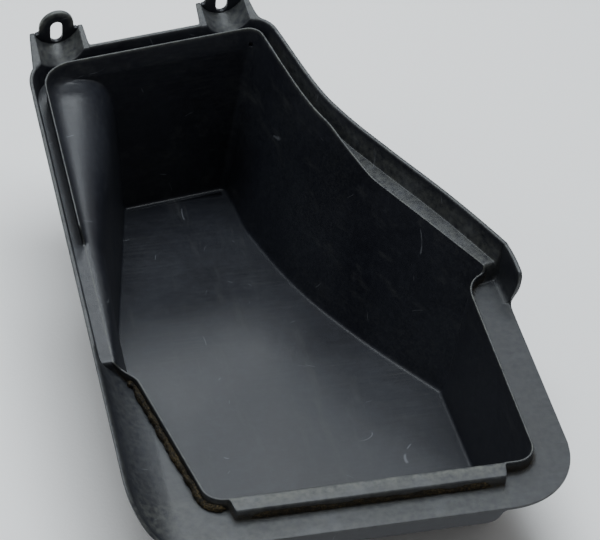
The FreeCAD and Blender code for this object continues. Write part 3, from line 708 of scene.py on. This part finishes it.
STEP_Y = SHELF_LEFT_END - 0.4
LEFT_FOOT = (Vector((-95.1, 72.6)), Vector((-116.5, SHELF_LEFT_END - 3)))
LEFT_FOOT_END = Vector((-116.7, STEP_Y))
LEFT_BEND = Vector((-0.87, -0.49))
LEFT_TURN = Vector((-0.773, -0.635))
COVE_START = 4.5


def left_lip_path():
    """Share of the way, plan point and outward direction along the mouth's left lip."""
    start = MOUTH_LEFT_CENTRE + MOUTH_SIDE * MOUTH_RADIUS
    path = [(t, mix(start, MOUTH_LEFT_TOP, t), MOUTH_SIDE) for t in steps(0.08, 0.95, 11)]
    return path + [(0.985, MOUTH_LEFT_TOP + Vector((-0.4, 1.4)), LEFT_BEND),
                   (0.99, MOUTH_LEFT_TOP + Vector((-3.2, 5.2)), LEFT_TURN),
                   (0.995, MOUTH_LEFT_TOP + Vector((-8.2, 10.6)), LEFT_TURN),
                   (1.0, Vector((-144.6, STEP_Y)), LEFT)]


def left_flange_sections():
    """Left side of the mouth, back up to the step below the left shelf."""
    start_y = (MOUTH_LEFT_CENTRE + MOUTH_SIDE * MOUTH_RADIUS).y
    rows = []
    for t, plan, out in left_lip_path():
        foot = LEFT_FOOT_END if t == 1.0 else mix(*LEFT_FOOT, t)
        flat_x = min(COVE_CENTRE.x - COVE_FLAT, plan.x - COVE_START)
        used = math.asin(max(0.0, (COVE_CENTRE.x - COVE_FLAT - flat_x) / COVE_RADIUS))
        edge_y = mix(COVE_CENTRE.y, STEP_Y, (plan.y - start_y) / (STEP_Y - start_y))
        rise = cove_rows(COVE_RADIUS, RIM_Z, used)
        outer = [(r - COVE_RADIUS * math.sin(used), z)
                 for r, z in outer_cove(COVE_RADIUS, RIM_Z, BAND, -WALL)]
        rows.append(mouth_section(foot, plan, out, (Vector((flat_x, edge_y)), LEFT), rise, BAND,
                                  outer))
    return rows


# ---- mesh ------------------------------------------------------------------------------------


def grid_normal(grid, i, j):
    """Unit normal of the wall at section i and row j, pointing out of the tub."""
    n = len(grid)
    along = grid[(i + 1) % n][j] - grid[i - 1][j]
    up = grid[i][j + 1] - grid[i][max(j - 1, 0)]
    return up.cross(along).normalized()


def add_wall_outside(grid):
    """Close every section: the wall's outer face, a wall's thickness away from its inner face."""
    closed = []
    for i, rows in enumerate(grid):
        outside = []
        for j in reversed(range(WALL_ROWS)):
            lower = Vector((0, 0, -WALL / 2)) if j == 0 else Vector()
            outside.append(rows[j] + grid_normal(grid, i, j) * WALL + lower)
        closed.append(rows + outside)
    return closed


def inset_floor(points, distance):
    """Closed plan outline moved inwards by a distance, laid on the sloping floor."""
    moved = []
    n = len(points)
    for i, p in enumerate(points):
        before = Vector((p - points[i - 1])[:2])
        after = Vector((points[(i + 1) % n] - p)[:2])
        before = before.normalized() if before.length > 1e-6 else after.normalized()
        after = after.normalized() if after.length > 1e-6 else before
        along = (before + after).normalized()
        inward = Vector((along.y, -along.x))
        plan = Vector(p[:2]) + inward * distance / max(0.6, inward.dot(Vector((before.y, -before.x))))
        moved.append(at(plan, floor_z(plan)))
    return moved


def link(name, data):
    """New object in the scene, with its data under the same name."""
    obj = bpy.data.objects.new(name, data)
    bpy.context.scene.collection.objects.link(obj)
    return obj


def add_object(name, bm):
    """New object in the scene with the mesh that was built."""
    mesh = bpy.data.meshes.new(name)
    bm.to_mesh(mesh)
    bm.free()
    return link(name, mesh)


def loft_mesh(name, sections, levels, marks, rings_join=False):
    """Quad mesh over closed sections, subdivided, then closed where it is still open.

    marks(section, row) gives the share of wear with painted highlight and sheen, and of residue there;
    rings_join closes each section on itself."""
    bm = bmesh.new()
    wear_and_sheen = bm.verts.layers.float.new("wear_and_sheen")
    stuck = bm.verts.layers.float.new("stuck")
    rings = []
    for i, rows in enumerate(sections):
        ring = []
        for j, p in enumerate(rows):
            v = bm.verts.new(to_row(p))
            v[wear_and_sheen], v[stuck] = marks(i, j)
            ring.append(v)
        rings.append(ring)
    for a, b in zip(rings, rings[1:] + rings[:1]):
        pairs = list(zip(a, b))
        if rings_join:
            pairs.append(pairs[0])
        for (a1, b1), (a2, b2) in zip(pairs, pairs[1:]):
            bm.faces.new((a1, b1, b2, a2))
    obj = add_object(name, bm)
    subdivide(obj, levels)
    close_loops(obj.data)
    return obj


def subdivide(obj, levels):
    """Smooth the mesh, keeping the corners of its open edges."""
    modifier = obj.modifiers.new("smooth", "SUBSURF")
    modifier.levels = modifier.render_levels = levels
    modifier.boundary_smooth = "PRESERVE_CORNERS"
    apply_modifiers(obj)


def apply_modifiers(obj):
    """Make the modified shape the object's own mesh."""
    depsgraph = bpy.context.evaluated_depsgraph_get()
    mesh = bpy.data.meshes.new_from_object(obj.evaluated_get(depsgraph))
    obj.modifiers.clear()
    obj.data = mesh


def close_loops(mesh):
    """Fill every open loop with a flat face, cut into triangles."""
    bm = bmesh.new()
    bm.from_mesh(mesh)
    edges = [e for e in bm.edges if e.is_boundary]
    if edges:
        filled = bmesh.ops.holes_fill(bm, edges=edges, sides=0)["faces"]
        bmesh.ops.triangulate(bm, faces=filled)
    bmesh.ops.recalc_face_normals(bm, faces=bm.faces)
    for face in bm.faces:
        face.smooth = True
    bm.to_mesh(mesh)
    bm.free()
    mesh.update()


# rows of a section, counted from the floor's inset loop; paleness of the flats by stretch is a painted
# sheen of reflected light, and the lip and rim tops get wear with a painted highlight
LIP_TOP_ROWS = (12,)
LIP_FOOT_ROWS = (15, 16)
RIM_TOP_ROWS = (23, 24)
FLAT_ROWS = range(13, 22)
FLAT_SHEEN = {"right": 0.3, "mouth_front": 0.3, "mouth_left": 0.12, "mouth_right": 0.12}
LIP_WEAR_AND_HIGHLIGHT = 0.8
RIM_WEAR_AND_HIGHLIGHT = 0.3


def liner_marks(stretches):
    """Wear, painted light and residue by section and row: lip and rim tops are paler by wear and a
    painted highlight, the flats by a painted sheen.
    """
    names = [name for name, sections in stretches for _ in sections]

    def marks(i, j):
        # lip and rim tops: real wear, with a painted highlight along the edge
        wear_and_sheen = LIP_WEAR_AND_HIGHLIGHT if j in LIP_TOP_ROWS else RIM_WEAR_AND_HIGHLIGHT if j in RIM_TOP_ROWS else 0.0
        # flats: a painted sheen of reflected light, strongest on the right shelf and the front flange
        if j in FLAT_ROWS:
            wear_and_sheen = max(wear_and_sheen, FLAT_SHEEN.get(names[i], 0.0))
        stuck = 1.0 if "mouth" in names[i] and j in LIP_FOOT_ROWS else 0.0
        return wear_and_sheen, stuck

    return marks


def build_liner():
    """The moulding, lofted clockwise round the tub, with its drain hole."""
    stretches = [
        ("left", left_sections()), ("back", back_sections()), ("right", right_sections()),
        ("mouth_right", curl_sections() + right_flange_sections() + front_right_sections()),
        ("mouth_front", front_sections() + front_left_sections()),
        ("mouth_left", left_flange_sections())]
    grid = add_wall_outside([rows for _, sections in stretches for rows in sections])
    floor = inset_floor([rows[0] for rows in grid], FLOOR_INSET)
    under = Vector((0, 0, -WALL))
    closed = [[p] + rows + [p + under] for p, rows in zip(floor, grid)]
    liner = loft_mesh("liner", closed, 2, liner_marks(stretches))
    cut_drain(liner)
    return liner


def cut_drain(obj):
    """Small round hole through the foot of the back lip, just above the shelf."""
    plan = BACK_POINT + BACK_ALONG * ((DRAIN_X - BACK_POINT.x) / BACK_ALONG.x)
    bm = bmesh.new()
    bmesh.ops.create_cone(bm, cap_ends=True, segments=24, radius1=DRAIN_RADIUS,
                          radius2=DRAIN_RADIUS, depth=2 * DRAIN_REACH)
    along = at(BACK_OUT, 0).to_track_quat("Z", "Y").to_matrix().to_4x4()
    for v in bm.verts:
        v.co = to_row(Matrix.Translation(at(plan, DRAIN_Z)) @ along @ v.co)
    cutter = add_object("drain_cutter", bm)
    modifier = obj.modifiers.new("drain", "BOOLEAN")
    modifier.operation, modifier.solver, modifier.object = "DIFFERENCE", "EXACT", cutter
    apply_modifiers(obj)
    bpy.data.objects.remove(cutter)


# ---- ear plates ------------------------------------------------------------------------------

PLATE_SHOULDER = 35.9
PLATE_EYE = 35.0
PLATE_V = (27.5, 32.0)
PLATE_SOFT = 0.5
PLATE_SINK = 1.2
PLATE_SPANS = 16
PLATE_RIM_ROWS = (0, 1, 8, 9)


def plate_outline():
    """Arch over the slot, two short shoulders, and the trough's curve below, as (u, z) pairs."""
    half = math.sqrt(TROUGH_RADIUS ** 2 - (TROUGH_CENTRE_Z - PLATE_SHOULDER) ** 2)
    points = []
    for i in range(PLATE_SPANS + 1):
        a = math.pi * i / PLATE_SPANS
        points.append((PLATE_RADIUS * math.cos(a), PLATE_CENTRE_Z + PLATE_RADIUS * math.sin(a)))
    side = [(PLATE_RADIUS, 37.4), (PLATE_RADIUS + 0.35, 36.2), (PLATE_RADIUS + 1.6, PLATE_SHOULDER),
            (half - 0.5, PLATE_SHOULDER - 0.1), (half, PLATE_SHOULDER - 0.8)]
    points += [(-u, z) for u, z in side]
    for i in range(1, PLATE_SPANS):
        u = -half * math.cos(math.pi * i / PLATE_SPANS)
        points.append((u, TROUGH_CENTRE_Z - math.sqrt(TROUGH_RADIUS ** 2 - u * u) - PLATE_SINK))
    return points + side[::-1]


def slot_point(u, z):
    """Where the ray from the slot's middle towards (u, z) leaves the slot."""
    a, b = u, z - PLATE_EYE
    size = math.hypot(a, b)
    a, b = a / size, b / size
    if abs(a) > 1e-6 and abs(SLOT_RADIUS * b / a) <= SLOT_Z[1] - PLATE_EYE:
        reach = SLOT_RADIUS / abs(a)
    else:
        far = (SLOT_Z[1] - PLATE_EYE) * abs(b)
        reach = far + math.sqrt(far * far - (SLOT_Z[1] - PLATE_EYE) ** 2 + SLOT_RADIUS ** 2)
    return a * reach, PLATE_EYE + b * reach


def build_plate(side):
    """Upright plate across the back of an ear, with its slot and softened edges."""
    ear_x, ear_y = EARS[side]
    front, back = PLATE_V
    sections = []
    for u, z in plate_outline():
        su, sz = slot_point(u, z)
        away = Vector((u - su, z - sz)).normalized() * PLATE_SOFT
        rim, hole = Vector((u, z)), Vector((su, sz))
        middle = (rim + hole) / 2
        profile = [(rim, front + PLATE_SOFT), (rim - away, front), (middle, front),
                   (hole + away, front), (hole, front + PLATE_SOFT), (hole, back - PLATE_SOFT),
                   (hole + away, back), (middle, back), (rim - away, back), (rim, back - PLATE_SOFT)]
        rows = []
        for p, v in profile:
            rows.append(Vector((ear_x + p.x, ear_y + p.x * math.tan(SKEW) + v, p.y)))
        sections.append(rows)

    def marks(i, j):
        # plate's rim rows: wear with a painted highlight along the edges
        return (LIP_WEAR_AND_HIGHLIGHT if j in PLATE_RIM_ROWS and i <= PLATE_SPANS else 0.0), 0.0

    return loft_mesh("slotted_plate_" + side, sections, 2, marks, rings_join=True)


# ---- foam ------------------------------------------------------------------------------------


def foam_profile(w, h):
    """Closed outline of a worn foam strip w wide and h high: (away from the lip, height) pairs."""
    return [(0.1, 0.1), (0.1, h * 0.35), (0.1, h * 0.7), (0.15, h * 0.93), (w * 0.25, h * 0.98),
            (w * 0.55, h * 0.9), (w * 0.8, h * 0.72), (w * 0.93, h * 0.45), (w * 0.97, h * 0.2),
            (w * 0.92, 0.1), (w * 0.6, 0.1), (w * 0.3, 0.1)]


def build_foam(name, stations, width, height):
    """Crumbling strip: the outline breathes along its length and its faces are pitted."""
    sections = []
    count = len(stations)
    for i, (plan, out) in enumerate(stations):
        ends = min(1.0, 0.35 + min(i, count - 1 - i) / 5)
        swell = 0.82 + 0.3 * noise.noise(Vector((i * 0.17, 3.1, width)))
        low = 0.8 + 0.35 * noise.noise(Vector((i * 0.11, 9.7, width)))
        rows = []
        for d, z in foam_profile(width, height):
            d = 0.1 + (d - 0.1) * min(1.0, swell) * ends
            z = 0.1 + (z - 0.1) * min(1.0, low) * ends
            p = at(plan + out * d, mouth_ground(plan + out * d) + z)
            inside = 0.5 + noise.noise(p * 0.9) * 0.5 + noise.noise(p * 0.35) * 0.4
            pit = max(0.0, min(1.0, inside)) * 0.22
            centre = at(plan + out * (width * 0.4), mouth_ground(plan) + height * 0.3)
            rows.append(mix(p, centre, pit))
        sections.append(rows)
    return crumble(strip_mesh(name, sections))


def crumble(obj):
    """Pit the foam's skin, coarse and fine."""
    mesh = obj.data
    shifts = []
    for v in mesh.vertices:
        p = v.co * 1000
        depth = 0.55 * noise.noise(p * 0.55) + 0.4 * noise.noise(p * 1.3) + 0.2 * noise.noise(p * 2.9)
        shifts.append(v.normal * min(0.1, depth - 0.12) / 1000)
    for v, shift in zip(mesh.vertices, shifts):
        v.co += shift
    mesh.update()
    return obj


def strip_mesh(name, sections):
    """Open strip of closed sections, its two ends filled, subdivided."""
    bm = bmesh.new()
    rings = [[bm.verts.new(to_row(p)) for p in rows] for rows in sections]
    for a, b in zip(rings, rings[1:]):
        for j in range(len(a)):
            k = (j + 1) % len(a)
            bm.faces.new((a[j], b[j], b[k], a[k]))
    for ring in (rings[0], rings[-1]):
        middle = bm.verts.new(sum((v.co for v in ring), Vector()) / len(ring))
        for j in range(len(ring)):
            bm.faces.new((ring[j], ring[(j + 1) % len(ring)], middle))
    bmesh.ops.recalc_face_normals(bm, faces=bm.faces)
    obj = add_object(name, bm)
    subdivide(obj, 2)
    obj.data.polygons.foreach_set("use_smooth", [True] * len(obj.data.polygons))
    return obj


def left_foam():
    """Along the outside of the lip: from the bend at the top, round the corner, to the ledge."""
    foot = MOUTH_LEFT_CENTRE + MOUTH_SIDE * MOUTH_RADIUS
    bend = (LEFT + FRONT * 0.75).normalized()
    stations = []
    for t in steps(0.0, 1.0, 9):
        stations.append((mix(Vector((-141.0, 164.8)), Vector((-136.6, 158.4)), t), bend))
    for y in steps(155.0, foot.y + 1.0, 84):
        place = foot + UP_LEFT * ((y - foot.y) / UP_LEFT.y) + MOUTH_SIDE * LIP
        stations.append((place, MOUTH_SIDE))
    for t in steps(0.0, 1.0, 16):
        out = turn(MOUTH_SIDE, FRONT, t)
        stations.append((MOUTH_LEFT_CENTRE + out * (MOUTH_RADIUS + LIP), out))
    return build_foam("seal_left_foam", stations, 5.2, 7.8)


def right_foam():
    """Thin remains along the outside of the right lip."""
    stations = [(Vector((MOUTH_RIGHT_X + LIP, y)), RIGHT) for y in steps(53.0, 195.0, 110)]
    return build_foam("seal_right_foam", stations, 2.3, 4.8)


def front_foam():
    """Thin remains along the front face of the ledge."""
    y = MOUTH_FRONT_Y - LEDGE_WIDTH
    stations = [(Vector((x, y)), FRONT) for x in steps(-79.5, 94.5, 130)]
    return build_foam("seal_front_foam", stations, 1.5, 7.8)


# ---- materials -------------------------------------------------------------------------------


class Nodes:
    """A material's node tree with short ways to add and join nodes."""

    def __init__(self, name):
        self.material = bpy.data.materials.new(name)
        self.material.use_nodes = True
        self.tree = self.material.node_tree
        self.shader = self.tree.nodes["Principled BSDF"]
        coords = self.tree.nodes.new("ShaderNodeTexCoord")
        self.place = coords.outputs["Object"]

    def join(self, source, socket):
        """Link an output to the socket, or set the socket to a constant."""
        if hasattr(source, "is_output"):
            self.tree.links.new(source, socket)
        else:
            socket.default_value = source

    def stretched(self, x, y, z):
        mapping = self.tree.nodes.new("ShaderNodeMapping")
        mapping.inputs["Scale"].default_value = (x, y, z)
        self.tree.links.new(self.place, mapping.inputs["Vector"])
        return mapping.outputs["Vector"]

    def noise(self, scale, detail=4.0, rough=0.55, place=None):
        node = self.tree.nodes.new("ShaderNodeTexNoise")
        node.inputs["Scale"].default_value = scale
        node.inputs["Detail"].default_value = detail
        node.inputs["Roughness"].default_value = rough
        self.tree.links.new(place or self.place, node.inputs["Vector"])
        return node.outputs["Fac"]

    def cells(self, scale):
        node = self.tree.nodes.new("ShaderNodeTexVoronoi")
        node.inputs["Scale"].default_value = scale
        self.tree.links.new(self.place, node.inputs["Vector"])
        return node.outputs["Distance"]

    def ranged(self, value, low, high, out_low=0.0, out_high=1.0):
        node = self.tree.nodes.new("ShaderNodeMapRange")
        self.join(value, node.inputs["Value"])
        ends = (("From Min", low), ("From Max", high), ("To Min", out_low), ("To Max", out_high))
        for key, number in ends:
            node.inputs[key].default_value = number
        return node.outputs["Result"]

    def sum(self, operation, a, b):
        node = self.tree.nodes.new("ShaderNodeMath")
        node.operation = operation
        self.join(a, node.inputs[0])
        self.join(b, node.inputs[1])
        return node.outputs[0]

    def times(self, a, b):
        return self.sum("MULTIPLY", a, b)

    def blend(self, share, a, b):
        node = self.tree.nodes.new("ShaderNodeMix")
        node.data_type = "RGBA"
        self.join(share, node.inputs["Factor"])
        for value, key in ((a, "A"), (b, "B")):
            socket = [s for s in node.inputs if s.name == key and s.type == "RGBA"][0]
            if isinstance(value, tuple):
                value = (*value, 1.0)
            self.join(value, socket)
        return [s for s in node.outputs if s.type == "RGBA"][0]

    def attribute(self, name):
        node = self.tree.nodes.new("ShaderNodeAttribute")
        node.attribute_name = name
        return node.outputs["Fac"]

    def bump(self, height, distance, strength=1.0, before=None):
        node = self.tree.nodes.new("ShaderNodeBump")
        node.inputs["Distance"].default_value = distance
        node.inputs["Strength"].default_value = strength
        self.join(height, node.inputs["Height"])
        if before:
            self.join(before, node.inputs["Normal"])
        return node.outputs["Normal"]

    def finish(self, colour, roughness, normal, specular):
        """Join the looks to the shader and hand back the material."""
        self.join(colour, self.shader.inputs["Base Color"])
        self.join(roughness, self.shader.inputs["Roughness"])
        self.join(normal, self.shader.inputs["Normal"])
        self.shader.inputs["Specular IOR Level"].default_value = specular
        return self.material


SCRATCH_HALF_WIDTH = 0.0014


def plastic():
    """Satin black polypropylene: fine grain, dusty bloom, scuffed floor, paler worn edges that carry a
    painted highlight, and a painted sheen on the flats.
    """
    n = Nodes("black_plastic")
    bloom = n.noise(9.0, 5.0, 0.6)
    dust = n.ranged(n.noise(160.0, 6.0, 0.7), 0.45, 0.8)
    streaks = n.ranged(n.noise(60.0, 5.0, 0.7, n.stretched(1.0, 0.12, 1.0)), 0.56, 0.8)
    cross = n.ranged(n.noise(420.0, 4.0, 0.6, n.stretched(0.04, 1.0, 1.0)), 0.42, 0.75)
    cross = n.times(cross, n.ranged(n.noise(14.0, 3.0), 0.35, 0.65))
    scuff = n.sum("MAXIMUM", streaks, n.times(cross, 0.5))
    colour = n.blend(n.ranged(bloom, 0.35, 0.7), (0.007, 0.0075, 0.011), (0.013, 0.0145, 0.020))
    colour = n.blend(n.times(dust, 0.35), colour, (0.033, 0.036, 0.044))
    colour = n.blend(n.times(scuff, 0.35), colour, (0.075, 0.077, 0.072))
    # paler lip, rim and plate tops: wear with a painted highlight along the edges
    edge = n.times(n.attribute("wear_and_sheen"), n.ranged(n.noise(220.0, 5.0), 0.3, 0.65))
    colour = n.blend(n.times(edge, 0.75), colour, (0.16, 0.165, 0.14))
    # painted sheen: reflected light laid on the flats as pale patches
    sheen_patches = n.ranged(n.noise(30.0, 6.0, 0.75), 0.5, 0.62)
    flat = n.times(n.ranged(n.attribute("wear_and_sheen"), 0.08, 0.35), sheen_patches)
    colour = n.blend(n.times(flat, 0.35), colour, (0.078, 0.083, 0.092))
    scratches = n.sum("MAXIMUM", scratch(n, 7.0, 47.0), scratch(n, 12.0, 61.0))
    colour = n.blend(n.times(scratches, 0.4), colour, (0.20, 0.21, 0.23))
    grit = n.ranged(n.noise(650.0, 6.0, 0.75), 0.45, 0.58)
    stuck = n.times(n.attribute("stuck"), grit)
    colour = n.blend(n.times(stuck, 0.8), colour, (0.060, 0.046, 0.022))
    rough = n.ranged(bloom, 0.3, 0.7, 0.34, 0.46)
    rough = n.sum("ADD", rough, n.times(scuff, 0.12))
    rough = n.sum("ADD", rough, n.times(n.sum("MAXIMUM", edge, stuck), 0.25))
    normal = n.bump(n.noise(1900.0, 3.0, 0.5), 0.00012)
    normal = n.bump(n.noise(55.0, 3.0), 0.0004, 0.6, normal)
    normal = n.bump(stuck, 0.0006, 0.8, normal)
    return n.finish(colour, rough, normal, 0.4)


def scratch(n, scale, gaps):
    """Thin curved lines, kept only in the spots where a second noise is high."""
    off = n.sum("SUBTRACT", n.noise(scale, 1.0, 0.3), 0.5)
    line = n.ranged(n.times(off, off), 0.0, SCRATCH_HALF_WIDTH ** 2, 1.0, 0.0)
    return n.times(line, n.ranged(n.noise(gaps, 1.0), 0.63, 0.68))


def foam():
    """Crumbling open-cell foam, brown to dull gold, with black grit in its pores."""
    n = Nodes("aged_foam")
    tone = n.ranged(n.noise(750.0, 6.0, 0.75), 0.42, 0.68)
    patch = n.ranged(n.noise(90.0, 3.0), 0.3, 0.7, 0.35, 1.0)
    gold = n.blend(patch, (0.035, 0.027, 0.014), (0.190, 0.140, 0.060))
    colour = n.blend(n.times(tone, patch), (0.012, 0.010, 0.008), gold)
    pores = n.ranged(n.cells(900.0), 0.1, 0.5)
    colour = n.blend(n.times(n.ranged(n.noise(330.0, 5.0, 0.7), 0.5, 0.6), 0.9), colour,
                     (0.012, 0.011, 0.010))
    normal = n.bump(pores, 0.0005, 0.9)
    normal = n.bump(n.noise(500.0, 6.0, 0.7), 0.0006, 0.8, normal)
    return n.finish(colour, n.ranged(tone, 0.0, 1.0, 0.95, 0.8), normal, 0.25)


def pale_floor():
    """Plain matt floor, close to white."""
    n = Nodes("pale_floor")
    colour = n.blend(n.noise(3.0, 3.0), (0.90, 0.89, 0.88), (0.93, 0.92, 0.91))
    return n.finish(colour, 0.7, n.bump(n.noise(300.0), 0.0002), 0.2)


# ---- object, stage, light and camera ---------------------------------------------------------


def dress(obj, material, nodes):
    """Give a piece its material and body, and hide the CAD nodes that it replaces."""
    obj.data.materials.clear()
    obj.data.materials.append(material)
    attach(obj, "root")
    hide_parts(*nodes)
    return obj


def build_object():
    """The moulding, its two slotted plates and the three foam strips."""
    black, gold = plastic(), foam()
    apart = {"ear_plate_left", "ear_plate_right", "seal_left", "seal_front", "seal_right"}
    moulding = sorted(set(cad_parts) - apart)
    dress(build_liner(), black, moulding)
    for side in EARS:
        dress(build_plate(side), black, ["ear_plate_" + side])
    for build, node in ((left_foam, "seal_left"), (front_foam, "seal_front"),
                        (right_foam, "seal_right")):
        dress(build(), gold, [node])


def build_stage():
    """Floor under the object."""
    bm = bmesh.new()
    bmesh.ops.create_grid(bm, x_segments=8, y_segments=8, size=6.0)
    floor = add_object("stage_floor", bm)
    floor.location = (0, 0, cad_box[0].z)
    floor.data.materials.append(pale_floor())


COOL_WHITE = (0.88, 0.95, 1.0)


def area_light(name, place, target, size, power):
    """Rectangular light that faces its target."""
    data = bpy.data.lights.new(name, "AREA")
    data.shape = "RECTANGLE"
    data.size, data.size_y = size
    data.energy = power
    data.color = COOL_WHITE
    light = link(name, data)
    light.location = place
    light.rotation_euler = (target - place).to_track_quat("-Z", "Y").to_euler()


def build_light():
    """Soft light from above, with weak lights behind and to the left."""
    middle = (cad_box[0] + cad_box[1]) / 2
    area_light("back_softbox", middle + Vector((0.2, 1.65, 1.38)), middle, (0.5, 0.4), 10.0)
    area_light("top_softbox", middle + Vector((0.1, 0.3, 2.2)), middle, (1.7, 1.5), 68.0)
    area_light("left_fill", middle + Vector((-1.8, -0.6, 1.2)), middle, (1.2, 1.2), 7.0)
    world = bpy.data.worlds.new("studio")
    world.use_nodes = True
    shade = world.node_tree.nodes["Background"]
    shade.inputs["Color"].default_value = (1.0, 1.0, 1.0, 1.0)
    shade.inputs["Strength"].default_value = 0.3
    bpy.context.scene.world = world


CAMERA_PLACE = Vector((-374.65, -1037.0, 1260.0))
CAMERA_AZIMUTH = math.radians(-16.532)
CAMERA_HEIGHT = math.radians(42.895)
CAMERA_ROLL = math.radians(5.12)
CAMERA_LENS = 143.4


def build_camera():
    """Camera at the photographed angle, its three axes turned with the object."""
    a, e, r = CAMERA_AZIMUTH, CAMERA_HEIGHT, CAMERA_ROLL
    back = Vector((math.sin(a) * math.cos(e), -math.cos(a) * math.cos(e), math.sin(e)))
    right = (-back).cross(Vector((0, 0, 1))).normalized()
    up = right.cross(-back)
    right, up = right * math.cos(r) + up * math.sin(r), up * math.cos(r) - right * math.sin(r)
    axes = [turned(*axis) for axis in (right, up, back)]
    data = bpy.data.cameras.new("camera")
    data.sensor_width, data.lens = 36.0, CAMERA_LENS
    camera = link("camera", data)
    camera.matrix_world = Matrix.LocRotScale(
        to_row(CAMERA_PLACE), Matrix(axes).transposed().to_quaternion(), None)
    bpy.context.scene.camera = camera


build_object()
build_stage()
build_light()
build_camera()

bpy.context.view_layer.update()
